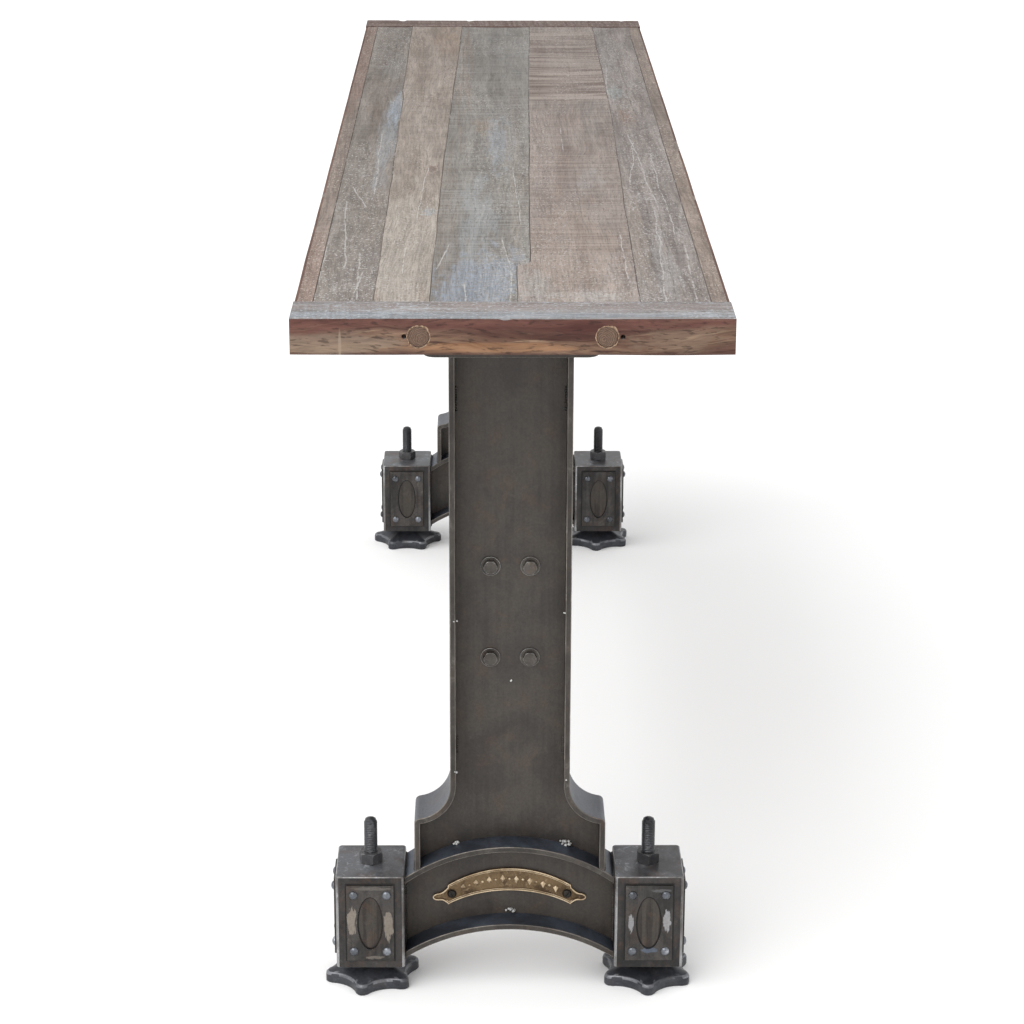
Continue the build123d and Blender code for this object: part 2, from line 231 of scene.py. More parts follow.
def cloud(tree, vector, scale, detail=4.0, rough=0.6, warp=0.0):
    return add(tree, "TexNoise", {"Vector": vector, "Scale": scale, "Detail": detail,
                                  "Roughness": rough, "Distortion": warp}).outputs["Fac"]


def startGroup(name, takes, gives):
    tree = bpy.data.node_groups.new(name, "ShaderNodeTree")
    for label, value in takes.items():
        kind = "Vector" if value is None or len(str(value).split(",")) == 3 else "Float"
        if isinstance(value, tuple) and len(value) == 4:
            kind = "Color"
        socket = tree.interface.new_socket(name=label, in_out="INPUT", socket_type="NodeSocket" + kind)
        if value is not None:
            socket.default_value = value
    for label, kind in gives.items():
        tree.interface.new_socket(name=label, in_out="OUTPUT", socket_type="NodeSocket" + kind)
    return tree, tree.nodes.new("NodeGroupInput").outputs, tree.nodes.new("NodeGroupOutput").inputs


def place(tree, effect, inputs):
    made = tree.nodes.new("ShaderNodeGroup")
    made.node_tree = effect
    for key, value in inputs.items():
        if isinstance(value, bpy.types.NodeSocket):
            tree.links.new(value, made.inputs[key])
        else:
            made.inputs[key].default_value = value
    return made.outputs


def startMaterial(name, roughness=0.6, metal=0.0, specular=0.5):
    look = bpy.data.materials.new(name)
    look.use_nodes = True
    tree = look.node_tree
    shader = tree.nodes["Principled BSDF"]
    shader.inputs["Roughness"].default_value = roughness
    shader.inputs["Metallic"].default_value = metal
    shader.inputs["Specular IOR Level"].default_value = specular
    here = tree.nodes.new("ShaderNodeTexCoord").outputs["Object"]
    return look, tree, shader, here


def bump(tree, shader, height, strength, distance):
    made = add(tree, "Bump", {"Height": height, "Strength": strength, "Distance": distance})
    tree.links.new(made.outputs[0], shader.inputs["Normal"])


def makeGrain():
    # long wood fibres that run along X
    tree, take, give = startGroup("woodGrain", {"Vector": None, "Along": 1.0, "Across": 1.0, "Seed": 0.0},
                                  {"Streak": "Float", "Fibre": "Float", "Pore": "Float"})
    shift = add(tree, "CombineXYZ", {0: take["Seed"], 1: times(tree, take["Seed"], 0.37), 2: 0.0}).outputs[0]
    moved = shifted(tree, take["Vector"], shift)
    size = add(tree, "CombineXYZ", {0: take["Along"], 1: take["Across"], 2: take["Across"]}).outputs[0]
    sized = add(tree, "VectorMath", {0: moved, 1: size}, operation="MULTIPLY").outputs[0]
    sway = cloud(tree, stretch(tree, sized, 3.2, 9.0, 9.0), 1.0, 2.0)
    swayed = add(tree, "VectorMath", {0: sized, 1: add(tree, "CombineXYZ", {
        0: 0.0, 1: times(tree, minus(tree, sway, 0.5), 0.03), 2: 0.0}).outputs[0]},
                 operation="ADD").outputs[0]
    streak = cloud(tree, stretch(tree, swayed, 2.2, 46.0, 46.0), 1.0, 6.0, 0.62, 0.3)
    fibre = cloud(tree, stretch(tree, swayed, 16.0, 420.0, 420.0), 1.0, 4.0, 0.7)
    pore = cloud(tree, stretch(tree, swayed, 60.0, 900.0, 900.0), 1.0, 2.0, 0.5)
    tree.links.new(streak, give["Streak"])
    tree.links.new(fibre, give["Fibre"])
    tree.links.new(fade(tree, pore, 0.56, 0.68), give["Pore"])
    return tree


def makeSawMarks():
    # blade marks across the grain, uneven in pitch and broken up along their length
    tree, take, give = startGroup("sawMarks", {"Vector": None, "Pitch": 0.012, "Lean": 0.05, "Seed": 0.0},
                                  {"Mark": "Float"})
    parts = add(tree, "SeparateXYZ", {0: take["Vector"]}).outputs
    leaned = plus(tree, parts[0], times(tree, parts[1], take["Lean"]))
    lines = add(tree, "CombineXYZ", {0: plus(tree, calc(tree, "DIVIDE", leaned, take["Pitch"]), take["Seed"]),
                                     1: times(tree, parts[1], 7.0), 2: take["Seed"]}).outputs[0]
    coarse = cloud(tree, lines, 1.0, 2.0, 0.55)
    tree.links.new(fade(tree, coarse, 0.36, 0.66), give["Mark"])
    return tree


def makeLimewash():
    # pale residue that stays in the pores and low spots
    tree, take, give = startGroup("limewash", {"Vector": None, "Amount": 0.5, "Seed": 0.0}, {"Mask": "Float"})
    shift = add(tree, "CombineXYZ", {0: take["Seed"], 1: take["Seed"], 2: 0.0}).outputs[0]
    moved = shifted(tree, take["Vector"], shift)
    flecks = cloud(tree, stretch(tree, moved, 130.0, 300.0, 300.0), 1.0, 5.0, 0.72)
    areas = cloud(tree, stretch(tree, moved, 9.0, 26.0, 26.0), 1.0, 4.0, 0.6)
    both = plus(tree, times(tree, flecks, 0.55), times(tree, areas, 0.45))
    level = fade(tree, take["Amount"], 0.0, 1.0, 0.68, 0.42)
    low = minus(tree, both, level)
    tree.links.new(fade(tree, low, 0.0, 0.09), give["Mask"])
    return tree


def makeCrack():
    # one wandering line along X, broken and uneven in width
    tree, take, give = startGroup("grainLine", {
        "Vector": None, "From": 0.0, "To": 0.1, "Offset": 0.0, "Slope": 0.0, "Wander": 0.004, "Width": 0.0008,
        "Seed": 0.0}, {"Mask": "Float"})
    parts = add(tree, "SeparateXYZ", {0: take["Vector"]}).outputs
    along = add(tree, "CombineXYZ", {0: parts[0], 1: take["Seed"], 2: 0.0}).outputs[0]
    slow = minus(tree, cloud(tree, along, 11.0, 3.0, 0.55), 0.5)
    straight = plus(tree, take["Offset"], times(tree, minus(tree, parts[0], take["From"]), take["Slope"]))
    line = plus(tree, straight, times(tree, slow, take["Wander"]))
    away = calc(tree, "ABSOLUTE", minus(tree, parts[1], line))
    width = times(tree, take["Width"], fade(tree, cloud(tree, along, 60.0, 2.0), 0.3, 0.7, 0.35, 1.6))
    inside = minus(tree, 1.0, calc(tree, "DIVIDE", away, width), clamp=True)
    ends = times(tree, fade(tree, minus(tree, parts[0], take["From"]), 0.0, 0.012),
                 fade(tree, minus(tree, take["To"], parts[0]), 0.0, 0.012))
    broken = fade(tree, cloud(tree, along, 38.0, 3.0, 0.7), 0.36, 0.5)
    mask = times(tree, times(tree, fade(tree, inside, 0.0, 0.7), ends), broken)
    tree.links.new(mask, give["Mask"])
    return tree


def makeArea():
    # a soft ragged patch round a centre
    tree, take, give = startGroup("stainArea", {
        "Vector": None, "Centre": (0.0, 0.0, 0.0), "Size": (0.1, 0.1, 0.1), "Ragged": 0.7, "Seed": 0.0},
                                  {"Mask": "Float"})
    off = add(tree, "VectorMath", {0: take["Vector"], 1: take["Centre"]}, operation="SUBTRACT").outputs[0]
    unit = add(tree, "VectorMath", {0: off, 1: take["Size"]}, operation="DIVIDE").outputs[0]
    far = add(tree, "VectorMath", {0: unit}, operation="LENGTH").outputs["Value"]
    shift = add(tree, "CombineXYZ", {0: take["Seed"], 1: take["Seed"], 2: take["Seed"]}).outputs[0]
    rag = cloud(tree, shifted(tree, unit, shift), 2.2, 6.0, 0.62)
    edge = plus(tree, far, times(tree, minus(tree, rag, 0.5), times(tree, take["Ragged"], 2.4)))
    tree.links.new(fade(tree, edge, 0.62, 1.1, 1.0, 0.0), give["Mask"])
    return tree


def makeSteelSkin():
    # mill scale, rolling streaks and rubbed spots on blackened steel
    tree, take, give = startGroup("steelSkin", {"Vector": None, "Scale": 1.0, "Streaks": 0.5, "Seed": 0.0},
                                  {"Cloudy": "Float", "Streak": "Float", "Rub": "Float", "Pit": "Float"})
    shift = add(tree, "CombineXYZ", {0: take["Seed"], 1: take["Seed"], 2: take["Seed"]}).outputs[0]
    moved = shifted(tree, take["Vector"], shift)
    sized = add(tree, "VectorMath", {0: moved, 3: take["Scale"]}, operation="SCALE").outputs[0]
    cloudy = cloud(tree, sized, 16.0, 7.0, 0.66, 0.4)
    streak = cloud(tree, stretch(tree, sized, 210.0, 210.0, 7.0), 1.0, 4.0, 0.6)
    rub = cloud(tree, sized, 90.0, 6.0, 0.75, 0.8)
    pit = cloud(tree, sized, 420.0, 3.0, 0.6)
    tree.links.new(cloudy, give["Cloudy"])
    tree.links.new(times(tree, minus(tree, streak, 0.5), take["Streaks"]), give["Streak"])
    tree.links.new(fade(tree, rub, 0.52, 0.72), give["Rub"])
    tree.links.new(pit, give["Pit"])
    return tree


grain, sawMarks, limewash = makeGrain(), makeSawMarks(), makeLimewash()
grainLine, stainArea, steelSkin = makeCrack(), makeArea(), makeSteelSkin()
print("shared effects made")


def stain(tree, vector, centre, size, ragged, seed):
    return place(tree, stainArea, {"Vector": vector, "Centre": centre, "Size": size, "Ragged": ragged,
                                   "Seed": seed})["Mask"]


def bladeMarks(tree, vector, pitch, seed, lean=0.05):
    return place(tree, sawMarks, {"Vector": vector, "Pitch": pitch, "Lean": lean, "Seed": seed})["Mark"]


def limeMask(tree, vector, amount, seed):
    return place(tree, limewash, {"Vector": vector, "Amount": amount, "Seed": seed})["Mask"]


def hairline(tree, vector, line, seed):
    inputs = dict(zip(("From", "To", "Offset", "Slope", "Wander", "Width"), line))
    return place(tree, grainLine, {"Vector": vector, "Seed": seed, **inputs})["Mask"]


# dark, middle and light wood, then how much of each effect;
# areas are (x, y, half length, half width, strength, colour)
plankLooks = {
    "plank_1": {"dark": (91, 82, 76), "middle": (123, 115, 108), "light": (147, 139, 132),
                "limeTone": (159, 156, 153),
                "saw": 0.25, "pitch": 0.011, "lime": 0.5, "specks": 0.9, "seed": 1.3,
                "areas": [(0.74, -0.145, 0.12, 0.035, 0.45, (107, 99, 97)),
                          (0.05, -0.142, 0.3, 0.012, 0.5, (141, 150, 158)),
                          (0.3, -0.137, 0.22, 0.014, 0.4, (117, 105, 97)),
                          (-0.3, -0.16, 0.3, 0.02, 0.35, (104, 87, 76)),
                          (-0.16, -0.138, 0.12, 0.008, 0.55, (148, 161, 174)),
                          (-0.46, -0.15, 0.1, 0.02, 0.4, (132, 134, 131))],
                "pale": [(0.62, 0.83, -0.15, 0.03, 0.016, 0.0011), (0.38, 0.7, -0.176, 0.045, 0.01, 0.0011),
                         (0.3, 0.42, -0.172, 0.16, 0.01, 0.0012), (0.55, 0.8, -0.183, -0.01, 0.008, 0.001),
                         (0.0, 0.36, -0.15, 0.01, 0.01, 0.0009), (-0.45, -0.05, -0.186, 0.0, 0.003, 0.0011),
                         (0.7, 0.82, -0.143, -0.05, 0.01, 0.001)],
                "cracks": [(0.1, 0.6, -0.161, 0.008, 0.008, 0.0007),
                           (-0.7, -0.2, -0.153, 0.004, 0.006, 0.0007)]},
    "plank_2": {"dark": (112, 101, 90), "middle": (145, 134, 125), "light": (167, 158, 149),
                "limeTone": (169, 164, 160),
                "saw": 0.1, "pitch": 0.02, "lime": 0.22, "seed": 4.1,
                "areas": [(0.62, -0.102, 0.34, 0.05, 0.55, (167, 162, 153)),
                          (0.215, -0.086, 0.02, 0.008, 0.9, (98, 78, 70)),
                          (-0.7, -0.075, 0.13, 0.025, 0.5, (141, 118, 98)),
                          (-0.22, -0.09, 0.05, 0.014, 0.6, (105, 89, 79)),
                          (0.44, -0.085, 0.02, 0.006, 0.7, (150, 159, 166)),
                          (-0.5, -0.1, 0.3, 0.04, 0.35, (130, 116, 107))],
                "pale": [(0.6, 0.72, -0.1055, 0.0, 0.004, 0.0008), (0.2, 0.5, -0.09, -0.03, 0.008, 0.0008)],
                "cracks": [(0.1, 0.8, -0.093, 0.006, 0.012, 0.0006),
                           (-0.5, 0.1, -0.108, 0.01, 0.01, 0.0006),
                           (-0.8, -0.35, -0.085, 0.01, 0.01, 0.0007)]},
    "plank_3": {"dark": (94, 88, 82), "middle": (124, 119, 113), "light": (149, 146, 141),
                "limeTone": (160, 158, 155),
                "saw": 0.55, "pitch": 0.009, "lime": 0.42, "hairs": 0.45, "seed": 7.7,
                "areas": [(0.74, -0.03, 0.13, 0.05, 0.85, (130, 139, 151)),
                          (0.46, -0.035, 0.2, 0.022, 0.5, (133, 141, 147)),
                          (0.05, -0.008, 0.16, 0.016, 0.7, (132, 138, 146)),
                          (0.45, -0.066, 0.4, 0.012, 0.5, (119, 106, 96)),
                          (-0.14, -0.005, 0.05, 0.02, 0.6, (98, 95, 94)),
                          (-0.05, -0.03, 0.05, 0.016, 0.5, (140, 122, 105)),
                          (-0.4, -0.055, 0.4, 0.012, 0.5, (123, 102, 89)),
                          (0.2, 0.01, 0.5, 0.012, 0.4, (121, 108, 98)),
                          (-0.6, 0.0, 0.22, 0.04, 0.35, (117, 118, 117))],
                "pale": [(0.585, 0.7, -0.062, -0.09, 0.004, 0.0011),
                         (0.745, 0.86, -0.0455, 0.03, 0.004, 0.001),
                         (0.56, 0.74, -0.008, 0.05, 0.006, 0.0009), (0.7, 0.83, 0.001, -0.03, 0.003, 0.001),
                         (0.2, 0.5, 0.006, 0.02, 0.008, 0.0008)],
                "cracks": [(-0.1, 0.5, 0.004, 0.012, 0.006, 0.0007),
                           (-0.7, -0.25, -0.058, 0.01, 0.003, 0.0009)]},
    "plank_4": {"dark": (103, 88, 81), "middle": (134, 123, 116), "light": (159, 148, 140),
                "limeTone": (164, 159, 156),
                "saw": 0.85, "pitch": 0.011, "lime": 0.24, "seed": 2.9,
                "bands": [(-0.8, -0.46, 0.017, 0.6), (-0.5, -0.2, 0.022, 0.85), (0.1, 0.66, 0.006, 0.3)],
                "areas": [(0.805, 0.07, 0.022, 0.036, 0.7, (165, 161, 157)),
                          (0.765, 0.022, 0.06, 0.018, 0.7, (150, 147, 143)),
                          (0.6, 0.06, 0.2, 0.05, 0.35, (152, 133, 117)),
                          (0.27, 0.09, 0.06, 0.016, 0.5, (152, 154, 155)),
                          (-0.3, 0.105, 0.35, 0.014, 0.4, (115, 109, 105)),
                          (0.1, 0.06, 0.3, 0.04, 0.3, (141, 124, 115))],
                "pale": [(-0.05, 0.12, 0.0655, 0.0, 0.002, 0.0008), (0.5, 0.74, 0.112, 0.0, 0.01, 0.0009)],
                "cracks": [(-0.1, 0.5, 0.073, 0.006, 0.006, 0.0006),
                           (-0.75, -0.2, 0.085, 0.01, 0.006, 0.0006)]},
    "plank_5": {"dark": (95, 86, 81), "middle": (126, 118, 113), "light": (151, 143, 138),
                "limeTone": (161, 157, 155),
                "saw": 0.12, "pitch": 0.02, "lime": 0.5, "specks": 0.9, "seed": 9.4,
                "areas": [(0.7, 0.15, 0.16, 0.014, 0.4, (154, 154, 154)),
                          (-0.11, 0.15, 0.05, 0.012, 0.6, (134, 111, 98)),
                          (-0.28, 0.142, 0.05, 0.012, 0.7, (136, 145, 145)),
                          (0.55, 0.128, 0.3, 0.012, 0.5, (143, 131, 120)),
                          (-0.6, 0.14, 0.25, 0.02, 0.3, (134, 133, 132))],
                "pale": [(0.0, 0.42, 0.146, 0.03, 0.01, 0.0011), (0.05, 0.3, 0.15, -0.06, 0.012, 0.001),
                         (0.42, 0.83, 0.155, -0.03, 0.012, 0.001),
                         (0.6, 0.83, 0.175, -0.012, 0.008, 0.0011), (-0.5, 0.1, 0.139, -0.03, 0.006, 0.001),
                         (0.1, 0.55, 0.165, 0.01, 0.012, 0.0009)],
                "cracks": [(0.2, 0.8, 0.16, -0.01, 0.01, 0.0008), (-0.7, 0.0, 0.155, 0.01, 0.008, 0.0008)]},
}


def oldWood(name, style, turned=False, side=False):
    # weathered board: fibres, blade marks, stains, splits and pale residue; turned runs the grain along Y
    look, tree, shader, here = startMaterial(name, 0.7, specular=0.12)
    if turned:
        here = add(tree, "Mapping", {"Vector": here, "Rotation": (0.0, 0.0, math.pi / 2)}).outputs[0]
    flat = here
    if side:  # on an upright face the height stands in for the width
        parts = add(tree, "SeparateXYZ", {0: here}).outputs
        flat = add(tree, "CombineXYZ", {0: parts[0], 1: parts[2], 2: parts[1]}).outputs[0]
    fibres = place(tree, grain, {"Vector": flat, "Seed": style["seed"], "Across": style.get("across", 1.0),
                                 "Along": style.get("along", 1.0)})
    grey = fade(tree, fibres["Streak"], 0.32, 0.56, 0.3, 1.0)
    body = blend(tree, grey, tone(*style["dark"]), tone(*style["middle"]))
    body = blend(tree, fade(tree, fibres["Streak"], 0.5, 0.72, 0.0, 0.6), body, tone(*style["light"]))
    shade = fade(tree, fibres["Fibre"], 0.28, 0.72, 0.74, 1.24)
    body = blend(tree, 1.0, body, shade, "MULTIPLY")
    broad = cloud(tree, stretch(tree, flat, 2.6, 11.0, 11.0), 1.0, 5.0, 0.6)
    body = blend(tree, 1.0, body, fade(tree, broad, 0.3, 0.7, 0.90, 1.09), "MULTIPLY")
    patchy = cloud(tree, stretch(tree, flat, 20.0, 55.0, 55.0), 1.0, 5.0, 0.65, 0.5)
    body = blend(tree, 1.0, body, fade(tree, patchy, 0.32, 0.68, 0.86, 1.10), "MULTIPLY")
    crumbs = cloud(tree, stretch(tree, flat, 210.0, 260.0, 260.0), 1.0, 3.0, 0.7)
    worn = fade(tree, crumbs, 0.36, 0.6, 0.35, 1.0)
    for number, (x, y, long, wide, strength, colour) in enumerate(style.get("areas", ())):
        mask = stain(tree, flat, (x, y, 0.76), (long, wide, 0.2), 1.5, style["seed"] + number * 1.7)
        body = blend(tree, times(tree, times(tree, mask, worn), strength), body,
                     blend(tree, 1.0, tone(*colour), shade, "MULTIPLY"))
    marks = bladeMarks(tree, flat, style.get("pitch", 0.012), style["seed"])
    where = cloud(tree, stretch(tree, flat, 5.0, 16.0, 16.0), 1.0, 3.0, 0.6)
    sawn = times(tree, times(tree, marks, fade(tree, where, 0.4, 0.56)), style.get("saw", 0.2))
    body = blend(tree, times(tree, sawn, 0.6), body, blend(tree, 0.55, body, tone(*style["limeTone"])))
    hairs = bladeMarks(tree, flat, 0.0034, style["seed"] + 9.0)
    hairs = times(tree, hairs, fade(tree, where, 0.62, 0.42))
    body = blend(tree, times(tree, hairs, style.get("hairs", 0.25)), body, tone(*style["limeTone"]))
    for start, end, pitch, strength in style.get("bands", ()):
        wide = bladeMarks(tree, flat, pitch, style["seed"] + 4.0, lean=0.02)
        along = add(tree, "SeparateXYZ", {0: flat}).outputs[0]
        reach = times(tree, fade(tree, along, start, start + 0.04), fade(tree, along, end, end - 0.04))
        body = blend(tree, times(tree, reach, strength), body, blend(
            tree, wide, tone(*style["dark"]), tone(*style["light"])))
    body = blend(tree, times(tree, fibres["Pore"], 0.4), body, tone(*[c * 0.62 for c in style["dark"]]))
    lime = limeMask(tree, flat, style.get("lime", 0.3), style["seed"])
    body = blend(tree, times(tree, lime, 0.6), body, tone(*[c + 8 for c in style["limeTone"]]))
    specks = cloud(tree, stretch(tree, flat, 260.0, 420.0, 420.0), 1.0, 3.0, 0.65)
    specks = times(tree, fade(tree, specks, 0.56, 0.64), fade(tree, broad, 0.4, 0.56))
    body = blend(tree, times(tree, specks, style.get("specks", 0.7)), body, tone(*[
        c + 16 for c in style["limeTone"]]))
    height = plus(tree, times(tree, fibres["Fibre"], 0.5), times(tree, sawn, -0.7))
    height = plus(tree, height, times(tree, fibres["Streak"], 0.8))
    for number, line in enumerate(style.get("cracks", ())):
        split = hairline(tree, flat, line, style["seed"] + number * 3.1)
        split = times(tree, split, worn)
        body = blend(tree, times(tree, split, 0.4), body, tone(*[c * 0.6 for c in style["dark"]]))
        height = minus(tree, height, split)
    for number, line in enumerate(style.get("pale", ())):
        pale = hairline(tree, flat, line, style["seed"] + number * 5.3)
        pale = times(tree, pale, fade(tree, crumbs, 0.34, 0.50))
        body = blend(tree, times(tree, pale, 0.85), body, tone(*[c + 14 for c in style["limeTone"]]))
        height = minus(tree, height, times(tree, pale, 0.6))
    if not turned:  # painted shade: the far end darker, as if less lit than the near end
        along = add(tree, "SeparateXYZ", {0: flat}).outputs[0]
        body = blend(tree, 1.0, body, fade(tree, along, -0.85, 0.85, 0.84, 1.01), "MULTIPLY")
    tree.links.new(body, shader.inputs["Base Color"])
    tree.links.new(fade(tree, lime, 0.0, 1.0, 0.66, 0.85), shader.inputs["Roughness"])
    bump(tree, shader, height, 0.5, 0.0006)
    return look


def seamWood(name, style):
    # the broken arris along a seam: dark dirt with pale residue in places
    look, tree, shader, here = startMaterial(name, 0.8, specular=0.2)
    fibres = place(tree, grain, {"Vector": here, "Seed": style["seed"] + 2.0})
    body = blend(tree, fade(tree, fibres["Streak"], 0.4, 0.6), tone(*[c * 0.82 for c in style["dark"]]),
                 tone(*[c * 0.96 for c in style["middle"]]))
    pale = cloud(tree, stretch(tree, here, 44.0, 90.0, 90.0), 1.0, 5.0, 0.75)
    body = blend(tree, times(tree, fade(tree, pale, 0.54, 0.64), 0.7), body, tone(*style["limeTone"]))
    tree.links.new(body, shader.inputs["Base Color"])
    bump(tree, shader, pale, 0.4, 0.0008)
    return look


frameLooks = {
    "railTop": {"limeTone": (170, 160, 152), "dark": (94, 83, 75), "middle": (126, 114, 106),
                "light": (148, 135, 126),
                "saw": 0.1, "lime": 0.2, "seed": 5.5,
                "areas": [(0.7, -0.195, 0.18, 0.02, 0.6, (135, 112, 101)),
                          (0.5, 0.195, 0.3, 0.02, 0.4, (152, 137, 125)),
                          (-0.5, -0.195, 0.3, 0.02, 0.5, (121, 90, 79))]},
    "railSide": {"limeTone": (150, 130, 118), "dark": (63, 39, 33), "middle": (101, 75, 66),
                 "light": (128, 103, 88),
                 "hairs": 0.06, "specks": 0.15, "saw": 0.0, "lime": 0.08, "seed": 6.1, "across": 0.55},
    "endTop": {"dark": (101, 96, 94), "middle": (134, 128, 126), "light": (153, 152, 154),
               "limeTone": (166, 171, 176),
               "saw": 0.15, "pitch": 0.02, "lime": 0.55, "seed": 3.3, "across": 0.7,
               "areas": [(0.0, 0.876, 0.3, 0.011, 0.7, (131, 140, 148)),
                         (0.0, 0.842, 0.3, 0.015, 0.7, (129, 117, 112))]},
    "endTopFar": {"limeTone": (158, 148, 142), "dark": (62, 46, 42), "middle": (92, 74, 68),
                  "light": (118, 104, 98),
                  "saw": 0.1, "pitch": 0.02, "lime": 0.4, "seed": 8.3, "across": 0.7},
    "endFace": {"limeTone": (139, 123, 107), "dark": (64, 36, 31), "middle": (104, 79, 67),
                "light": (141, 116, 93),
                "saw": 0.0, "lime": 0.06, "seed": 4.6, "across": 0.42, "along": 1.5},
    "under": {"limeTone": (160, 146, 132), "dark": (83, 66, 55), "middle": (117, 97, 83),
              "light": (143, 125, 108),
              "saw": 0.6, "lime": 0.1, "seed": 7.1},
    "batten": {"limeTone": (150, 132, 116), "dark": (75, 55, 44), "middle": (112, 88, 72),
               "light": (137, 114, 94),
               "specks": 0.2, "saw": 0.5, "lime": 0.08, "seed": 2.2},
}


def endFaceWood(name, style):
    # the end board's outer face: flowing brown figure, a dark strip along the top, an orange streak low down
    look, tree, shader, here = startMaterial(name, 0.55, specular=0.2)
    parts = add(tree, "SeparateXYZ", {0: here}).outputs
    flat = add(tree, "CombineXYZ", {0: parts[1], 1: parts[2], 2: parts[0]}).outputs[0]
    level = minus(tree, parts[2], 0.7445)
    fibres = place(tree, grain, {"Vector": flat, "Across": style["across"], "Along": style["along"],
                                 "Seed": style["seed"]})
    sway = cloud(tree, stretch(tree, flat, 7.0, 16.0, 16.0), 1.0, 3.0, 0.6)
    bend = times(tree, minus(tree, sway, 0.5), 0.034)
    flow = plus(tree, level, bend)
    body = blend(tree, fade(tree, fibres["Streak"], 0.32, 0.56), tone(*style["dark"]), tone(*style["middle"]))
    tan = times(tree, fade(tree, flow, 0.006, -0.007), fade(tree, flow, -0.017, -0.010))
    tan = times(tree, tan, fade(tree, fibres["Streak"], 0.36, 0.6, 0.35, 1.0))
    body = blend(tree, times(tree, tan, 0.75), body, tone(*style["light"]))
    flowing = add(tree, "CombineXYZ", {0: parts[1], 1: flow, 2: 0.0}).outputs[0]
    lines = cloud(tree, stretch(tree, flowing, 9.0, 260.0, 1.0), 1.0, 4.0, 0.6, 0.4)
    body = blend(tree, fade(tree, lines, 0.46, 0.36, 0.0, 0.75), body, tone(60, 34, 29))
    body = blend(tree, fade(tree, lines, 0.56, 0.68, 0.0, 0.6), body, tone(158, 134, 110))
    orange = stain(tree, flat, (-0.02, 0.7345, 0.889), (0.09, 0.0055, 0.2), 0.5, 2.0)
    body = blend(tree, times(tree, orange, 0.42), body, tone(156, 114, 80))
    washed = stain(tree, flat, (-0.165, 0.738, 0.889), (0.07, 0.012, 0.2), 0.6, 5.0)
    body = blend(tree, times(tree, washed, 0.6), body, tone(122, 107, 94))
    swirl = stain(tree, flat, (0.15, 0.742, 0.889), (0.04, 0.014, 0.2), 0.9, 9.0)
    body = blend(tree, times(tree, swirl, 0.55), body, tone(112, 94, 80))
    dark = fade(tree, plus(tree, level, times(tree, bend, 0.7)), 0.0045, 0.010)
    body = blend(tree, times(tree, dark, 0.8), body, blend(
        tree, fade(tree, fibres["Streak"], 0.4, 0.6), tone(70, 36, 33), tone(94, 60, 54)))
    low = fade(tree, level, -0.0135, -0.0168)
    body = blend(tree, times(tree, low, 0.6), body, tone(76, 56, 48))
    body = blend(tree, 1.0, body, fade(tree, fibres["Fibre"], 0.25, 0.75, 0.76, 1.2), "MULTIPLY")
    body = blend(tree, times(tree, fibres["Pore"], 0.55), body, tone(40, 26, 23))
    drip = stain(tree, flat, (-0.1575, 0.7375, 0.889), (0.0016, 0.0145, 0.2), 0.25, 1.0)
    body = blend(tree, times(tree, drip, 0.55), body, tone(147, 130, 114))
    lime = limeMask(tree, flat, 0.12, 3.0)
    body = blend(tree, times(tree, lime, 0.35), body, tone(153, 139, 124))
    tree.links.new(body, shader.inputs["Base Color"])
    bump(tree, shader, plus(tree, fibres["Streak"], times(tree, fibres["Fibre"], 0.6)), 0.4, 0.0005)
    return look


woodTops = {name: oldWood("top_" + name, style) for name, style in plankLooks.items()}
woodSeams = {name: seamWood("seam_" + name, style) for name, style in plankLooks.items()}
railTopWood = oldWood("railTopWood", frameLooks["railTop"])
railSideWood = oldWood("railSideWood", frameLooks["railSide"], side=True)
endTopWood = oldWood("endTopWood", frameLooks["endTop"], turned=True)
endTopFarWood = oldWood("endTopFarWood", frameLooks["endTopFar"], turned=True)
endFaceLook = endFaceWood("endFaceWood", frameLooks["endFace"])
endSeamWood = seamWood("endSeamWood", frameLooks["endTop"])
underWood = oldWood("underWood", frameLooks["under"])
battenWood = oldWood("battenWood", frameLooks["batten"], turned=True)


def ringWood(name):
    # end grain of the plugs: growth rings round a centre that is off the middle
    look, tree, shader, here = startMaterial(name, 0.65, specular=0.3)
    parts = add(tree, "SeparateXYZ", {0: here}).outputs
    across = minus(tree, calc(tree, "ABSOLUTE", parts[1]), 0.083)
    up = minus(tree, parts[2], 0.7425)
    flat = add(tree, "CombineXYZ", {0: across, 1: up, 2: parts[1]}).outputs[0]
    wobble = cloud(tree, flat, 160.0, 3.0)
    far = add(tree, "VectorMath", {0: add(tree, "CombineXYZ", {0: across, 1: up, 2: 0.0}).outputs[0]},
              operation="LENGTH").outputs["Value"]
    rings = calc(tree, "SINE", plus(tree, times(tree, far, 3800.0), times(tree, wobble, 15.0)))
    body = blend(tree, fade(tree, rings, -0.6, 0.8), tone(84, 65, 54), tone(112, 91, 76))
    blot = cloud(tree, flat, 300.0, 4.0, 0.7)
    body = blend(tree, fade(tree, blot, 0.45, 0.7, 0.0, 0.6), body, tone(78, 56, 46))
    tree.links.new(body, shader.inputs["Base Color"])
    bump(tree, shader, plus(tree, rings, blot), 0.4, 0.0004)
    return look


def fillerLook(name):
    # pale wood filler round the plugs
    look, tree, shader, here = startMaterial(name, 0.85, specular=0.2)
    blot = cloud(tree, here, 420.0, 5.0, 0.7)
    body = blend(tree, fade(tree, blot, 0.36, 0.62), tone(96, 74, 61), tone(158, 134, 112))
    tree.links.new(body, shader.inputs["Base Color"])
    bump(tree, shader, blot, 0.5, 0.0004)
    return look


plugWood, plugFiller = ringWood("plugWood"), fillerLook("plugFiller")
print("wood finishes made")


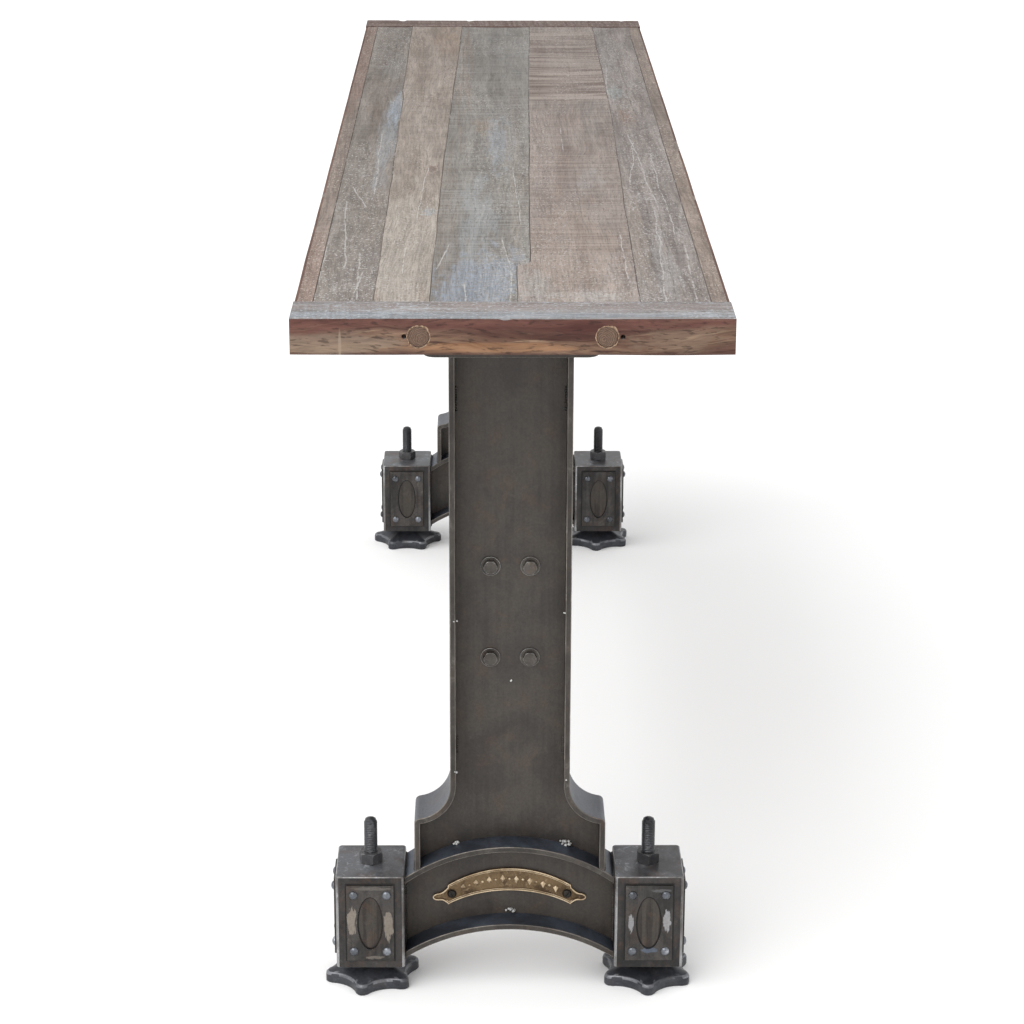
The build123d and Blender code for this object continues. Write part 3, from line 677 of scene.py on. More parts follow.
steelLooks = {
    "legSteel": {"dark": (50, 46, 43), "middle": (68, 63, 58), "rub": (104, 97, 90),
                 "rubbed": 0.12, "rust": 0.1, "rough": 0.52, "metal": 0.3, "streaks": 0.22, "seed": 1.0},
    "flangeFront": {"dark": (46, 43, 40), "middle": (67, 63, 59), "rub": (138, 132, 124),
                    "rubbed": 0.35, "rust": 0.12, "rough": 0.45, "metal": 0.4, "streaks": 0.3, "seed": 1.6},
    # painted sheen: the arch flanges' upward faces lighter and bluer, standing in for the overhead light
    # falling on them
    "flangeUpSheen": {"dark": (42, 47, 55), "middle": (70, 77, 88), "rub": (116, 124, 136),
                     "rubbed": 0.25, "rust": 0.04, "rough": 0.4, "metal": 0.3, "streaks": 0.2, "seed": 2.0},
    "legEdge": {"dark": (84, 80, 76), "middle": (122, 116, 110), "rub": (176, 170, 162),
                "rubbed": 0.6, "rust": 0.12, "rough": 0.38, "metal": 0.6, "streaks": 0.3, "seed": 3.0},
    "footSteel": {"dark": (32, 31, 31), "middle": (58, 55, 54), "rub": (112, 108, 104),
                  "rubbed": 0.3, "rust": 0.2, "rough": 0.45, "metal": 0.4, "streaks": 0.35, "seed": 4.0},
    # painted sheen with wear: the foot boxes' tops lighter blue-grey, standing in for the overhead light on
    # them, with rubbed spots and a little rust
    "boxTopSheen": {"dark": (60, 60, 62), "middle": (106, 108, 112), "rub": (196, 200, 206),
               "rubbed": 0.65, "rust": 0.22, "rough": 0.42, "metal": 0.35, "streaks": 0.0, "seed": 4.7},
    "footEdge": {"dark": (88, 85, 83), "middle": (150, 150, 151), "rub": (218, 219, 220),
                 "rubbed": 0.7, "rust": 0.18, "rough": 0.36, "metal": 0.5, "streaks": 0.3, "seed": 5.0},
    "panelSteel": {"dark": (40, 38, 37), "middle": (68, 65, 63), "rub": (126, 118, 108),
                   "rubbed": 0.35, "rust": 0.12, "rough": 0.4, "metal": 0.45, "streaks": 0.4, "seed": 6.0},
    "panelEdge": {"dark": (70, 67, 64), "middle": (124, 121, 117), "rub": (184, 181, 176),
                  "rubbed": 0.6, "rust": 0.15, "rough": 0.38, "metal": 0.5, "streaks": 0.3, "seed": 7.0},
    # painted shadow: a near-black sheet that shows as a thin border round each panel, standing in for the
    # shade along its edges
    "panelShadowRim": {"dark": (16, 15, 15), "middle": (26, 24, 23), "rub": (52, 48, 45),
                 "rubbed": 0.1, "rust": 0.1, "rough": 0.6, "metal": 0.2, "streaks": 0.0, "seed": 7.4},
    "windowSteel": {"dark": (40, 36, 33), "middle": (62, 57, 52), "rub": (92, 85, 78),
                    "rubbed": 0.3, "rust": 0.15, "rough": 0.5, "metal": 0.35, "streaks": 1.1, "seed": 7.8},
    "rivetSteel": {"dark": (62, 64, 68), "middle": (124, 128, 135), "rub": (212, 214, 220),
                   "rubbed": 0.6, "rust": 0.03, "rough": 0.28, "metal": 0.8, "streaks": 0.0, "seed": 8.0},
    "boltSteel": {"dark": (52, 49, 46), "middle": (82, 77, 72), "rub": (140, 134, 126),
                  "rubbed": 0.5, "rust": 0.2, "rough": 0.4, "metal": 0.5, "streaks": 0.1, "seed": 9.0},
    "studSteel": {"dark": (42, 43, 46), "middle": (68, 69, 72), "rub": (130, 131, 134),
                  "rubbed": 0.4, "rust": 0.05, "rough": 0.32, "metal": 0.45, "streaks": 0.0, "seed": 10.0},
    "nutSteel": {"dark": (50, 50, 52), "middle": (84, 84, 86), "rub": (170, 170, 170),
                 "rubbed": 0.5, "rust": 0.08, "rough": 0.36, "metal": 0.35, "streaks": 0.1, "seed": 11.0},
    "nutEdge": {"dark": (120, 120, 120), "middle": (176, 176, 175), "rub": (220, 220, 220),
                "rubbed": 0.6, "rust": 0.1, "rough": 0.3, "metal": 0.5, "streaks": 0.1, "seed": 12.0},
    "padIron": {"dark": (40, 42, 47), "middle": (66, 68, 74), "rub": (118, 120, 125),
                "rubbed": 0.3, "rust": 0.06, "rough": 0.42, "metal": 0.35, "streaks": 0.0, "seed": 13.0},
    "padEdge": {"dark": (68, 69, 73), "middle": (122, 124, 129), "rub": (182, 184, 187),
                "rubbed": 0.6, "rust": 0.08, "rough": 0.36, "metal": 0.45, "streaks": 0.0, "seed": 14.0},
    "weldSteel": {"dark": (40, 38, 37), "middle": (68, 64, 61), "rub": (124, 119, 114),
                  "rubbed": 0.4, "rust": 0.2, "rough": 0.42, "metal": 0.5, "streaks": 0.0, "seed": 15.0},
    "spatterSteel": {"dark": (140, 140, 140), "middle": (196, 196, 194), "rub": (236, 236, 234),
                     "rubbed": 0.6, "rust": 0.05, "rough": 0.4, "metal": 0.4, "streaks": 0.0, "seed": 16.0},
    "screwSteel": {"dark": (30, 28, 26), "middle": (50, 46, 42), "rub": (112, 104, 94),
                   "rubbed": 0.4, "rust": 0.2, "rough": 0.4, "metal": 0.6, "streaks": 0.0, "seed": 17.0},
    "beamSteel": {"dark": (40, 38, 36), "middle": (60, 56, 53), "rub": (104, 98, 92),
                  "rubbed": 0.2, "rust": 0.2, "rough": 0.52, "metal": 0.35, "streaks": 0.0, "seed": 18.0},
}
# worn places on the end panels: y and z from the panel's middle, half sizes, strength, colour
panelWear = {
    "front": [(-0.0190, 0.003, 0.0052, 0.017, 0.8, (136, 127, 117)),
              (0.0190, -0.002, 0.0050, 0.019, 0.8, (132, 123, 113)),
              (0.0, 0.0395, 0.022, 0.0022, 0.6, (104, 98, 92)),
              (0.004, -0.039, 0.010, 0.002, 0.6, (120, 112, 104))],
    "back": [(-0.0185, 0.000, 0.0030, 0.012, 0.95, (136, 136, 138)),
             (0.0187, 0.002, 0.0045, 0.013, 0.95, (142, 142, 144)),
             (0.0, -0.031, 0.009, 0.0035, 0.6, (92, 104, 122)),
             (0.012, 0.037, 0.012, 0.002, 0.5, (104, 104, 106))],
}


def steel(name, areas=(), edge=(0.0, 1.0)):
    # blackened steel: cloudy mill scale, rolling streaks, rubbed bright spots and a little rust
    style = steelLooks[name.split(".")[0]]
    look, tree, shader, here = startMaterial(name, style["rough"], style["metal"], 0.5)
    skin = place(tree, steelSkin, {"Vector": here, "Streaks": style["streaks"], "Seed": style["seed"]})
    level = plus(tree, skin["Cloudy"], skin["Streak"])
    body = blend(tree, fade(tree, level, 0.36, 0.64), tone(*style["dark"]), tone(*style["middle"]))
    for number, (x, y, z, sizes, strength, colour) in enumerate(areas):
        mask = stain(tree, here, (x, y, z), sizes, 0.7, style["seed"] + number * 2.3)
        body = blend(tree, fade(tree, mask, *edge, 0.0, strength), body, tone(*colour))
    rub = times(tree, skin["Rub"], fade(tree, skin["Cloudy"], 0.42, 0.6))
    body = blend(tree, times(tree, rub, style["rubbed"]), body, tone(*style["rub"]))
    rust = cloud(tree, shifted(tree, here, (style["seed"], 0.0, 3.0)),
                 38.0, 6.0, 0.7, 0.6)
    rusty = times(tree, fade(tree, rust, 0.5, 0.66), style["rust"])
    body = blend(tree, rusty, body, tone(112, 78, 54))
    body = blend(tree, 1.0, body, fade(tree, skin["Pit"], 0.3, 0.7, 0.88, 1.1), "MULTIPLY")
    tree.links.new(body, shader.inputs["Base Color"])
    uneven = plus(tree, fade(tree, skin["Cloudy"], 0.3, 0.7, -0.08, 0.1), style["rough"])
    tree.links.new(plus(tree, uneven, times(tree, rusty, 0.3), clamp=True), shader.inputs["Roughness"])
    height = plus(tree, times(tree, skin["Pit"], 0.5), skin["Cloudy"])
    bump(tree, shader, height, 0.35, 0.0007)
    return look


def brassLook(name, dark, middle, bright, seed, rough=0.38):
    # aged brass: brown in the low spots, rubbed gold on the high ones
    look, tree, shader, here = startMaterial(name, rough, 0.85, 0.5)
    skin = place(tree, steelSkin, {"Vector": here, "Scale": 2.2, "Streaks": 0.1, "Seed": seed})
    body = blend(tree, fade(tree, skin["Cloudy"], 0.36, 0.6), tone(*dark), tone(*middle))
    body = blend(tree, times(tree, skin["Rub"], 0.6), body, tone(*bright))
    body = blend(tree, 1.0, body, fade(tree, skin["Pit"], 0.3, 0.7, 0.85, 1.12), "MULTIPLY")
    tree.links.new(body, shader.inputs["Base Color"])
    dull = fade(tree, skin["Cloudy"], 0.3, 0.7, rough - 0.08, rough + 0.14)
    tree.links.new(dull, shader.inputs["Roughness"])
    bump(tree, shader, plus(tree, skin["Pit"], skin["Cloudy"]), 0.4, 0.0004)
    return look


metals = {name: steel(name) for name in steelLooks}
# painted sheen: lighter blue-grey patches on the post flanges' shoulders, standing in for the light reflected
# there
shoulderSheenAreas = [(end * 0.7, side * 0.085, 0.18, (0.07, 0.05, 0.085), 0.85, (98, 101, 107))
                 for end in (1, -1) for side in (1, -1)]
metals["shoulderSteel"] = steel("legSteel.shoulder", shoulderSheenAreas)
panelAreas = [
    (end * 0.7415, sides[side] * 0.144 + end * y, 0.0795 + z, (0.006, wide, high), strength, colour)
    for end in (1, -1) for side in sides for y, z, wide, high, strength, colour in panelWear[side]]
metals["panelSteel"] = steel("panelSteel.worn", panelAreas, edge=(0.3, 0.6))
brassBase = brassLook("brassBase", (86, 68, 50), (134, 112, 84), (184, 162, 130), 3.0, 0.45)
brassRaised = brassLook("brassRaised", (158, 136, 108), (208, 188, 158), (240, 228, 205), 6.0, 0.36)
brassRecess = brassLook("brassRecess", (74, 59, 44), (122, 102, 77), (178, 156, 126), 9.0, 0.5)
print("metal finishes made")


boardSettings = {
    # y of each seam at x, in metres, between one plank and the next
    "seams": [
        [(0.826, -0.1290), (0.3, -0.1296), (-0.25, -0.1312), (-0.28, -0.1332), (-0.826, -0.134)],
        [(0.826, -0.0770), (0.2, -0.0738), (-0.4, -0.0660), (-0.826, -0.060)],
        [(0.826, 0.0050), (0.678, 0.0058), (0.674, 0.0185), (0.340, 0.0226), (-0.136, 0.0290),
         (-0.547, 0.0345), (-0.826, 0.0390)],
        [(0.826, 0.1190), (0.404, 0.1235), (-0.093, 0.1310), (-0.826, 0.1320)],
    ],
    "step": 0.006,     # length of one mesh cell along the grain
    "across": 12,      # cells across a plank
    "wander": 0.0009,  # how far a seam strays
    "cup": 0.0005,     # hollow across each plank
    "wave": 0.0005,    # unevenness along it
    "arris": 0.0006,
    "drop": [0.0004, 0.0, 0.0006, 0.0001, 0.0005],  # how much lower each plank lies
}


def seamLine(number, x):
    points = sorted(boardSettings["seams"][number])
    y = points[-1][1]
    for (x0, y0), (x1, y1) in zip(points, points[1:]):
        if x <= x1:
            y = y0 + (y1 - y0) * max(0.0, (x - x0) / (x1 - x0))
            break
    stray = ripple(x * 8, number * 5.0, 0.3) + 0.4 * ripple(x * 60, number * 5.0, 7.3)
    return y + stray * boardSettings["wander"]


def thicken(sheet, bottom):
    # closes an uneven top sheet down to a flat underside
    selectParts(sheet, lambda centre, normal: True)
    bpy.ops.mesh.extrude_region_move(TRANSFORM_OT_translate={"value": (0.0, 0.0, -0.01)})
    leaveEdit()
    for point in sheet.data.vertices:
        if point.select:
            point.co.z = bottom
    mergeMesh(sheet, recalc=True)


def longBoard(low, high, frontLine, backLine, drop, across, seed):
    # a board along X between two side lines, dished and uneven on top and flat below
    length = high.x - low.x
    clearSelection()
    cells = int(length / boardSettings["step"])
    bpy.ops.mesh.primitive_grid_add(x_subdivisions=cells, y_subdivisions=across, size=1.0)
    board = freeze(bpy.context.object)
    for point in board.data.vertices:
        x = low.x + (point.co.x + 0.5) * length
        share = point.co.y + 0.5
        front, back = frontLine(x), backLine(x)
        dish = boardSettings["cup"] * (1 - (2 * share - 1) ** 2)
        wave = boardSettings["wave"] * (0.5 + 0.5 * ripple(x * 5, share * 2 + seed, seed))
        nick = 0.0006 * max(0.0, ripple(x * 40, share * 3, seed * 3) - 0.25)
        point.co = (x, front + (back - front) * share, high.z - drop - dish - wave - nick)
    thicken(board, low.z)
    return board


def makePlanks():
    for number in range(1, 6):
        node = f"plank_{number}"
        low, high = nodeBox(node)

        def frontLine(x, number=number, edge=low.y):
            return edge if number == 1 else seamLine(number - 2, x)

        def backLine(x, number=number, edge=high.y):
            return edge if number == 5 else seamLine(number - 1, x)

        board = longBoard(low, high, frontLine, backLine, boardSettings["drop"][number - 1],
                          boardSettings["across"], number * 1.9)
        dress(board, woodTops[node], woodSeams[node], underWood)
        rounded(board, boardSettings["arris"], 2, 50, edgeSlot=1)
        dressFaces(board, 2, lambda centre, normal: normal.z < -0.9 and centre.z < low.z + 0.0005)
        settle(board, f"board{number}", stands=[node])
    print("planks made")


railSettings = {
    "uneven": 0.0004,  # how far the outer face strays
    "worn": 0.0016,    # how much the outer corner has worn down
    "dark": 0.0022,    # strip along the outer edge that is as dark as the side
    "drop": 0.0002, "across": 6, "arris": 0.0004,
}


def makeRails():
    style = railSettings
    for side in sides:
        node = f"side_rail_{side}"
        low, high = nodeBox(node)
        inner, outer = (high.y, low.y) if side == "front" else (low.y, high.y)
        edge = sides[side]

        def line(x, base=outer, edge=edge):
            return base - edge * style["uneven"] * (1 + ripple(x * 7, edge, 0.0))

        def seam(x, base=inner):
            return base

        lines = (line, seam) if side == "front" else (seam, line)
        rail = longBoard(low, high, *lines, style["drop"], style["across"], edge * 3.3)
        for point in rail.data.vertices:  # the outer corner has worn round
            if point.co.z > low.z + 0.02 and abs(point.co.y) > abs(outer) - style["worn"]:
                point.co.z -= style["worn"]
        dress(rail, railTopWood, woodSeams["plank_1"], railSideWood, underWood)
        rounded(rail, style["arris"], 1, 50, edgeSlot=1)
        column = abs(outer) - style["dark"]
        dressFaces(rail, 2, lambda centre, normal: abs(normal.y) > 0.8 or abs(centre.y) > column)
        dressFaces(rail, 3, lambda centre, normal: normal.z < -0.9 and centre.z < low.z + 0.0005)
        settle(rail, f"rail_{side}", stands=[node])
    print("rails made")


endBoardSettings = {
    "plugs": (0.086, 0.7445, 0.0101, 0.0102),  # y, z, radius and depth of the plug pockets
    "nails": [(-0.0990, 0.7449), (0.1002, 0.7446)],
    "nailRadius": 0.0023, "nailDepth": 0.009,
    "arris": 0.0012, "wave": 0.0005, "back": 0.0004,
    "edge": 0.012,  # width of the strip along the outer edge that is worn
    "nick": 0.004, "uneven": 0.0004, "under": 0.0008,
}


def makeEndBoards():
    style = endBoardSettings
    plugY, plugZ, plugRadius, plugDepth = style["plugs"]
    for end, sign in ends.items():
        node = f"end_board_{end}"
        low, high = nodeBox(node)
        clearSelection()
        bpy.ops.mesh.primitive_grid_add(x_subdivisions=9, y_subdivisions=96, size=1.0)
        board = freeze(bpy.context.object)
        outer = high.x if sign > 0 else low.x
        for point in board.data.vertices:
            x = low.x + (point.co.x + 0.5) * (high.x - low.x)
            y = low.y + (point.co.y + 0.5) * (high.y - low.y)
            near = max(0.0, 1 - abs(x - outer) / style["edge"])
            x -= sign * near * (style["back"] + style["wave"] * (0.5 + 0.5 * ripple(y * 14, sign * 4.0, 0.0)))
            z = high.z - style["uneven"] * (1 + ripple(x * 30, y * 9, sign)) * (0.5 + near)
            nick = max(0.0, ripple(y * 70, sign * 9.0, 2.0) - 0.32)
            point.co = (x, y, z - near * nick * style["nick"])
        thicken(board, low.z)
        for point in board.data.vertices:
            if point.co.z < low.z + 0.001:
                near = max(0.0, 1 - abs(point.co.x - outer) / style["edge"])
                point.co.z = low.z + near * style["under"] * (1 + ripple(point.co.y * 11, sign * 2.0, 5.0))
        holes = [(side * plugY, plugZ, plugRadius, plugDepth) for side in (1, -1)]
        holes += [(sign * y, z, style["nailRadius"], style["nailDepth"]) for y, z in style["nails"]]
        for y, z, radius, depth in holes:
            clearSelection()
            bpy.ops.mesh.primitive_cylinder_add(vertices=40, radius=radius, depth=2 * depth,
                                                location=(outer, y, z), rotation=(0.0, math.pi / 2, 0.0))
            cutter = freeze(bpy.context.object)
            applyModifier(board, "BOOLEAN", operation="DIFFERENCE", solver="EXACT", object=cutter)
            bpy.data.objects.remove(cutter)
        top = endTopWood if sign > 0 else endTopFarWood
        dress(board, endFaceLook, top, endSeamWood, underWood)
        rounded(board, style["arris"], 3, 50, edgeSlot=2)
        dressFaces(board, 1, lambda centre, normal: normal.z > 0.8)
        dressFaces(board, 3, lambda centre, normal: normal.z < -0.8)
        dressFaces(board, 0, lambda centre, normal: abs(normal.z) <= 0.6 and abs(centre.y) < 0.2)
        settle(board, f"endBoard_{end}", stands=[node])
    print("end boards made")


plugSettings = {"radius": 0.0099, "depth": 0.0092, "sunk": 0.0008, "ringAt": 0.0006, "proud": 0.0002,
                "cuts": 5, "cutStep": 0.0018,  # rings of faces over the outer end
                "ring": 0.0098, "ringThick": 0.0005}


def makePlugs():
    style = plugSettings
    plugY, plugZ = endBoardSettings["plugs"][:2]
    plugs, rings = [], []
    for end, sign in ends.items():
        outer = nodeBox(f"end_board_{end}")[1 if sign > 0 else 0].x
        for side in (-1, 1):
            clearSelection()
            bpy.ops.mesh.primitive_cylinder_add(
                vertices=40, radius=style["radius"], depth=style["depth"],
                location=(outer - sign * (style["sunk"] + style["depth"] / 2), side * plugY, plugZ),
                rotation=(0.0, sign * math.pi / 2, 0.0))
            plug = freeze(bpy.context.object)
            for count in range(style["cuts"]):
                selectParts(plug, lambda centre, normal: normal.x * sign > 0.9 and math.hypot(
                    centre.y - side * plugY, centre.z - plugZ) < 0.001)
                bpy.ops.mesh.inset(thickness=style["cutStep"])
                leaveEdit()
            for point in plug.data.vertices:
                if (point.co.x - outer) * sign > -0.002:
                    away = math.hypot(point.co.y - side * plugY, point.co.z - plugZ)
                    rough = noise.noise(point.co * 300) * 0.0003
                    point.co.x -= sign * max(0.0, rough + 0.0004 * (away / style["radius"]) ** 4)
            plugs.append(plug)
            clearSelection()
            bpy.ops.mesh.primitive_circle_add(vertices=72, radius=style["ring"], fill_type="NOTHING",
                                              location=(0.0, side * plugY, plugZ),
                                              rotation=(0.0, math.pi / 2, 0.0))
            ring = freeze(bpy.context.object)
            selectParts(ring, lambda place: True, "VERT")
            bpy.ops.mesh.select_mode(type="EDGE")
            bpy.ops.mesh.select_all(action="SELECT")
            bpy.ops.mesh.extrude_region_move()
            bpy.ops.transform.resize(value=(1.0, 1.11, 1.11), center_override=(0.0, side * plugY, plugZ))
            leaveEdit()
            for point in ring.data.vertices:
                off = Vector((0.0, point.co.y - side * plugY, point.co.z - plugZ))
                turn = math.atan2(off.z, off.y)
                seed = sign * 3.0 + side * 5.0
                thick = 1 + 0.05 * ripple(math.cos(turn) * 2.4, math.sin(turn) * 2.4, seed)
                if off.length > 0.0105:  # the outer line drifts further, and draws out towards the nail
                    thick += 0.05 * ripple(math.cos(turn) * 5, math.sin(turn) * 5, seed + 4)
                    thick += 0.12 * max(0.0, off.normalized().dot(Vector((0.0, 0.6 * sign, 0.8)))) ** 20
                point.co.y = side * plugY + off.y * thick
                point.co.z = plugZ + off.z * thick
                rough = noise.noise(off * 700 + Vector((seed, 0, 0)))
                point.co.x = outer - sign * (style["ringAt"] - style["proud"] * rough)
            rings.append(ring)
    plug = joinAll(plugs)
    dress(plug, plugWood)
    rounded(plug, 0.0004, 2, 50)
    settle(plug, "plugs", stands=["end_plugs"])
    ring = joinAll(rings)
    applyModifier(ring, "SOLIDIFY", thickness=style["ringThick"], offset=0.0)
    mergeMesh(ring, recalc=True)
    dress(ring, plugFiller)
    rounded(ring, 0.00012, 1, 50)
    settle(ring, "plugFillerRings")
    print("plugs made")


def makeBattens():
    for spot in ("right", "middle", "left"):
        node = f"batten_{spot}"
        batten = nodeCopy(node)
        dress(batten, battenWood)
        rounded(batten, 0.0025, 2, 60)
        settle(batten, f"crossBatten_{spot}", stands=[node])
    print("battens made")


refinedSteel = {
    # node name without its end: bevel, face finish, edge finish, slot
    "post_web": (0.0004, "legSteel", "legEdge", "leg_steel"),
    "post_flange_front": (0.0009, "legSteel", "legEdge", "leg_steel"),
    "post_flange_back": (0.0009, "legSteel", "legEdge", "leg_steel"),
    "arch_web": (0.0004, "legSteel", "legEdge", "leg_steel"),
    "arch_upper_flange": (0.0009, "legSteel", "legEdge", "leg_steel"),
    "arch_lower_flange": (0.0009, "legSteel", "legEdge", "leg_steel"),
    "top_plate": (0.0010, "legSteel", "legEdge", "leg_steel"),
    "foot_box_front": (0.002, "footSteel", "footEdge", "foot_steel"),
    "foot_box_back": (0.002, "footSteel", "footEdge", "foot_steel"),
    "foot_panels": (0.0006, "panelSteel", "panelEdge", "panel_steel"),
}


def makePedestals():
    for end in ends:
        for node, (bevel, face, edge, slotName) in refinedSteel.items():
            plate = nodeCopy(f"{end}_{node}")
            dress(plate, metals[face], metals[edge], metals["flangeUpSheen"], metals["flangeFront"],
                  metals["shoulderSteel"], metals["boxTopSheen"])
            rounded(plate, bevel, 2, 50, edgeSlot=1)
            if node.endswith("flange") or node.startswith("post_flange"):
                dressFaces(plate, 3, lambda centre, normal: abs(normal.x) > 0.97)
            if node.startswith("arch") and node.endswith("flange"):
                # painted sheen on the arch flanges' upward faces
                dressFaces(plate, 2, lambda centre, normal: normal.z > 0.3 and abs(normal.x) < 0.1)
            if node.startswith("post_flange"):  # painted sheen: lighter blue-grey on the shoulder's outward and upward faces, where light falls
                dressFaces(plate, 4, lambda centre, normal: abs(normal.x) < 0.1 and (
                    normal.z > 0.3 or normal.y * centre.y > 0))
            if node.startswith("foot_box"):
                dressFaces(plate, 1, lambda centre, normal: max(map(abs, normal)) < 0.97)
                # painted sheen: the boxes' upward faces take the lighter top finish
                dressFaces(plate, 5, lambda centre, normal: normal.z > 0.97)
            settle(plate, f"{end}_{node}_plate", stands=[f"{end}_{node}"])
    print("pedestals made")


panelSettings = {"shadowRim": 0.0016, "shadowRimProud": 0.0005, "window": (0.0240, 0.0570), "windowProud": 0.0009,
                 "rivet": 0.0048, "rivetHeight": 0.0031}


def looseParts(node):
    # the separate solids of one node, each an object of its own
    whole = nodeCopy(node)
    pick(whole)
    bpy.ops.object.mode_set(mode="EDIT")
    bpy.ops.mesh.select_all(action="SELECT")
    bpy.ops.mesh.separate(type="LOOSE")
    leaveEdit()
    return list(bpy.context.selected_objects)


def span(obj):
    points = [point.co for point in obj.data.vertices]
    return (Vector(min(point[axis] for point in points) for axis in range(3)),
            Vector(max(point[axis] for point in points) for axis in range(3)))


def boxMiddle(spot):
    # the middle of the foot box nearest to a place
    end, side = ("right" if spot.x > 0 else "left"), ("back" if spot.y > 0 else "front")
    low, high = nodeBox(f"{end}_foot_box_{side}")
    return (low + high) / 2


def makePanelTrim():
    style = panelSettings
    shadowRims, windows, rivets = [], [], []
    for part in [part for end in ends for part in looseParts(f"{end}_foot_panels")]:
        low, high = span(part)
        middle, size = (low + high) / 2, high - low
        axis = min(range(3), key=lambda number: size[number])
        out = math.copysign(1.0, (middle - boxMiddle(middle))[axis])
        foot = low[axis] if out > 0 else high[axis]
        # the first is a thin dark sheet a little larger than the panel, lying on the box, its rim painted
        # shadow round the panel; the second is the oval window
        for kept, proud, shape in ((shadowRims, style["shadowRimProud"], "plate"),
                                   (windows, style["windowProud"], "oval")):
            clearSelection()
            if shape == "plate":
                bpy.ops.mesh.primitive_cube_add(size=1.0)
                wide = size + Vector((1, 1, 1)) * 2 * style["shadowRim"]
            else:
                turned = (0.0, math.pi / 2, 0.0) if axis == 0 else (math.pi / 2, 0.0, 0.0)
                bpy.ops.mesh.primitive_cylinder_add(vertices=40, radius=0.5, depth=1.0, rotation=turned)
                freeze(bpy.context.object)
                wide = Vector((style["window"][0], style["window"][0], style["window"][1]))
            wide[axis] = 2 * proud
            made = bpy.context.object
            made.scale = wide
            spot = middle.copy()
            spot[axis] = foot
            made.location = spot
            kept.append(freeze(made))
        bpy.data.objects.remove(part)
    for rivet in looseParts("panel_rivets"):
        low, high = span(rivet)
        middle = (low + high) / 2
        off = middle - boxMiddle(middle)
        axis = 0 if abs(off.x) > 0.036 else 1
        out = math.copysign(1.0, off[axis])
        tip = high[axis] if out > 0 else low[axis]
        spot = middle.copy()
        spot[axis] = tip - out * style["rivetHeight"]
        aim = Vector((0.0, 0.0, 0.0))
        aim[axis] = out
        rivets.append(dome(style["rivet"], style["rivetHeight"], spot, aim, 14, 8))
        bpy.data.objects.remove(rivet)
    shadowRim = joinAll(shadowRims)
    dress(shadowRim, metals["panelShadowRim"])
    rounded(shadowRim, 0.0002, 1, 50)
    settle(shadowRim, "panelShadowRims")
    window = joinAll(windows)
    dress(window, metals["windowSteel"])
    rounded(window, 0.0002, 1, 50)
    settle(window, "panelWindows")
    rivet = joinAll(rivets)
    dress(rivet, metals["rivetSteel"])
    settle(rivet, "rivetHeads", stands=["panel_rivets"])
    print("panel trim made")


def makeFasteners():
    for node, finish, edge, slotName, bevel in (
            ("stretcher_bolts", "boltSteel", "nutEdge", "bolt_steel", 0.0004),
            ("stretcher_nuts", "boltSteel", "nutEdge", "bolt_steel", 0.0003),
            ("stretcher_washers", "boltSteel", "nutEdge", "bolt_steel", 0.0003),
            ("stretcher_beam", "beamSteel", "legEdge", "leg_steel", 0.0010),
            ("stretcher_end_plate_right", "beamSteel", "legEdge", "leg_steel", 0.0010),
            ("stretcher_end_plate_left", "beamSteel", "legEdge", "leg_steel", 0.0010)):
        made = nodeCopy(node)
        dress(made, metals[finish], metals[edge])
        rounded(made, bevel, 2, 35, edgeSlot=1)
        settle(made, node + "_made", stands=[node])
    print("stretcher and its fasteners made")


def dome(radius, height, where, axis, segments=8, rings=5):
    # a low ball of few faces, half sunk into what it sits on
    clearSelection()
    bpy.ops.mesh.primitive_uv_sphere_add(segments=segments, ring_count=rings, radius=1.0)
    ball = bpy.context.object
    ball.scale = (radius, radius, height)
    ball.rotation_euler = Vector(axis).to_track_quat("Z", "Y").to_euler()
    ball.location = where
    freeze(ball)
    pick(ball)
    bpy.ops.object.shade_smooth()
    return ball


weldSettings = {
    "pitch": 0.0024, "radius": 0.0019,
    # joints on one pedestal, as start and end points: x from the middle of the leg, y, z;
    # each is made on both sides of Y
    "runs": [
        ((0.0035, 0.1085, 0.041), (0.0035, 0.1085, 0.119)),
        ((-0.0035, 0.1085, 0.041), (-0.0035, 0.1085, 0.119)),
        ((-0.029, 0.1085, 0.1264), (0.029, 0.1085, 0.1264)),
        ((-0.029, 0.1085, 0.0335), (0.029, 0.1085, 0.0335)),
        ((0.0035, 0.0546, 0.62), (0.0035, 0.0546, 0.644)),
        ((-0.0035, 0.0546, 0.62), (-0.0035, 0.0546, 0.644)),
        ((0.0035, 0.0546, 0.255), (0.0035, 0.0546, 0.272)),
        ((-0.0035, 0.0546, 0.255), (-0.0035, 0.0546, 0.272)),
        ((-0.026, 0.0974, 0.1338), (0.026, 0.0974, 0.1338)),
    ],
    # clusters of drops: x, y, z, spread and number
    "spatter": [(0.0050, -0.0555, 0.1535, 0.0032, 9), (0.0055, 0.0575, 0.1532, 0.0050, 16),
                (0.0050, 0.002, 0.0770, 0.0032, 9), (0.0035, 0.001, 0.334, 0.0016, 3),
                (0.0290, -0.0558, 0.408, 0.0014, 5), (0.0290, 0.0558, 0.417, 0.0014, 4),
                (0.0290, -0.0558, 0.244, 0.0022, 5), (0.0290, 0.0558, 0.236, 0.0016, 4)],
}


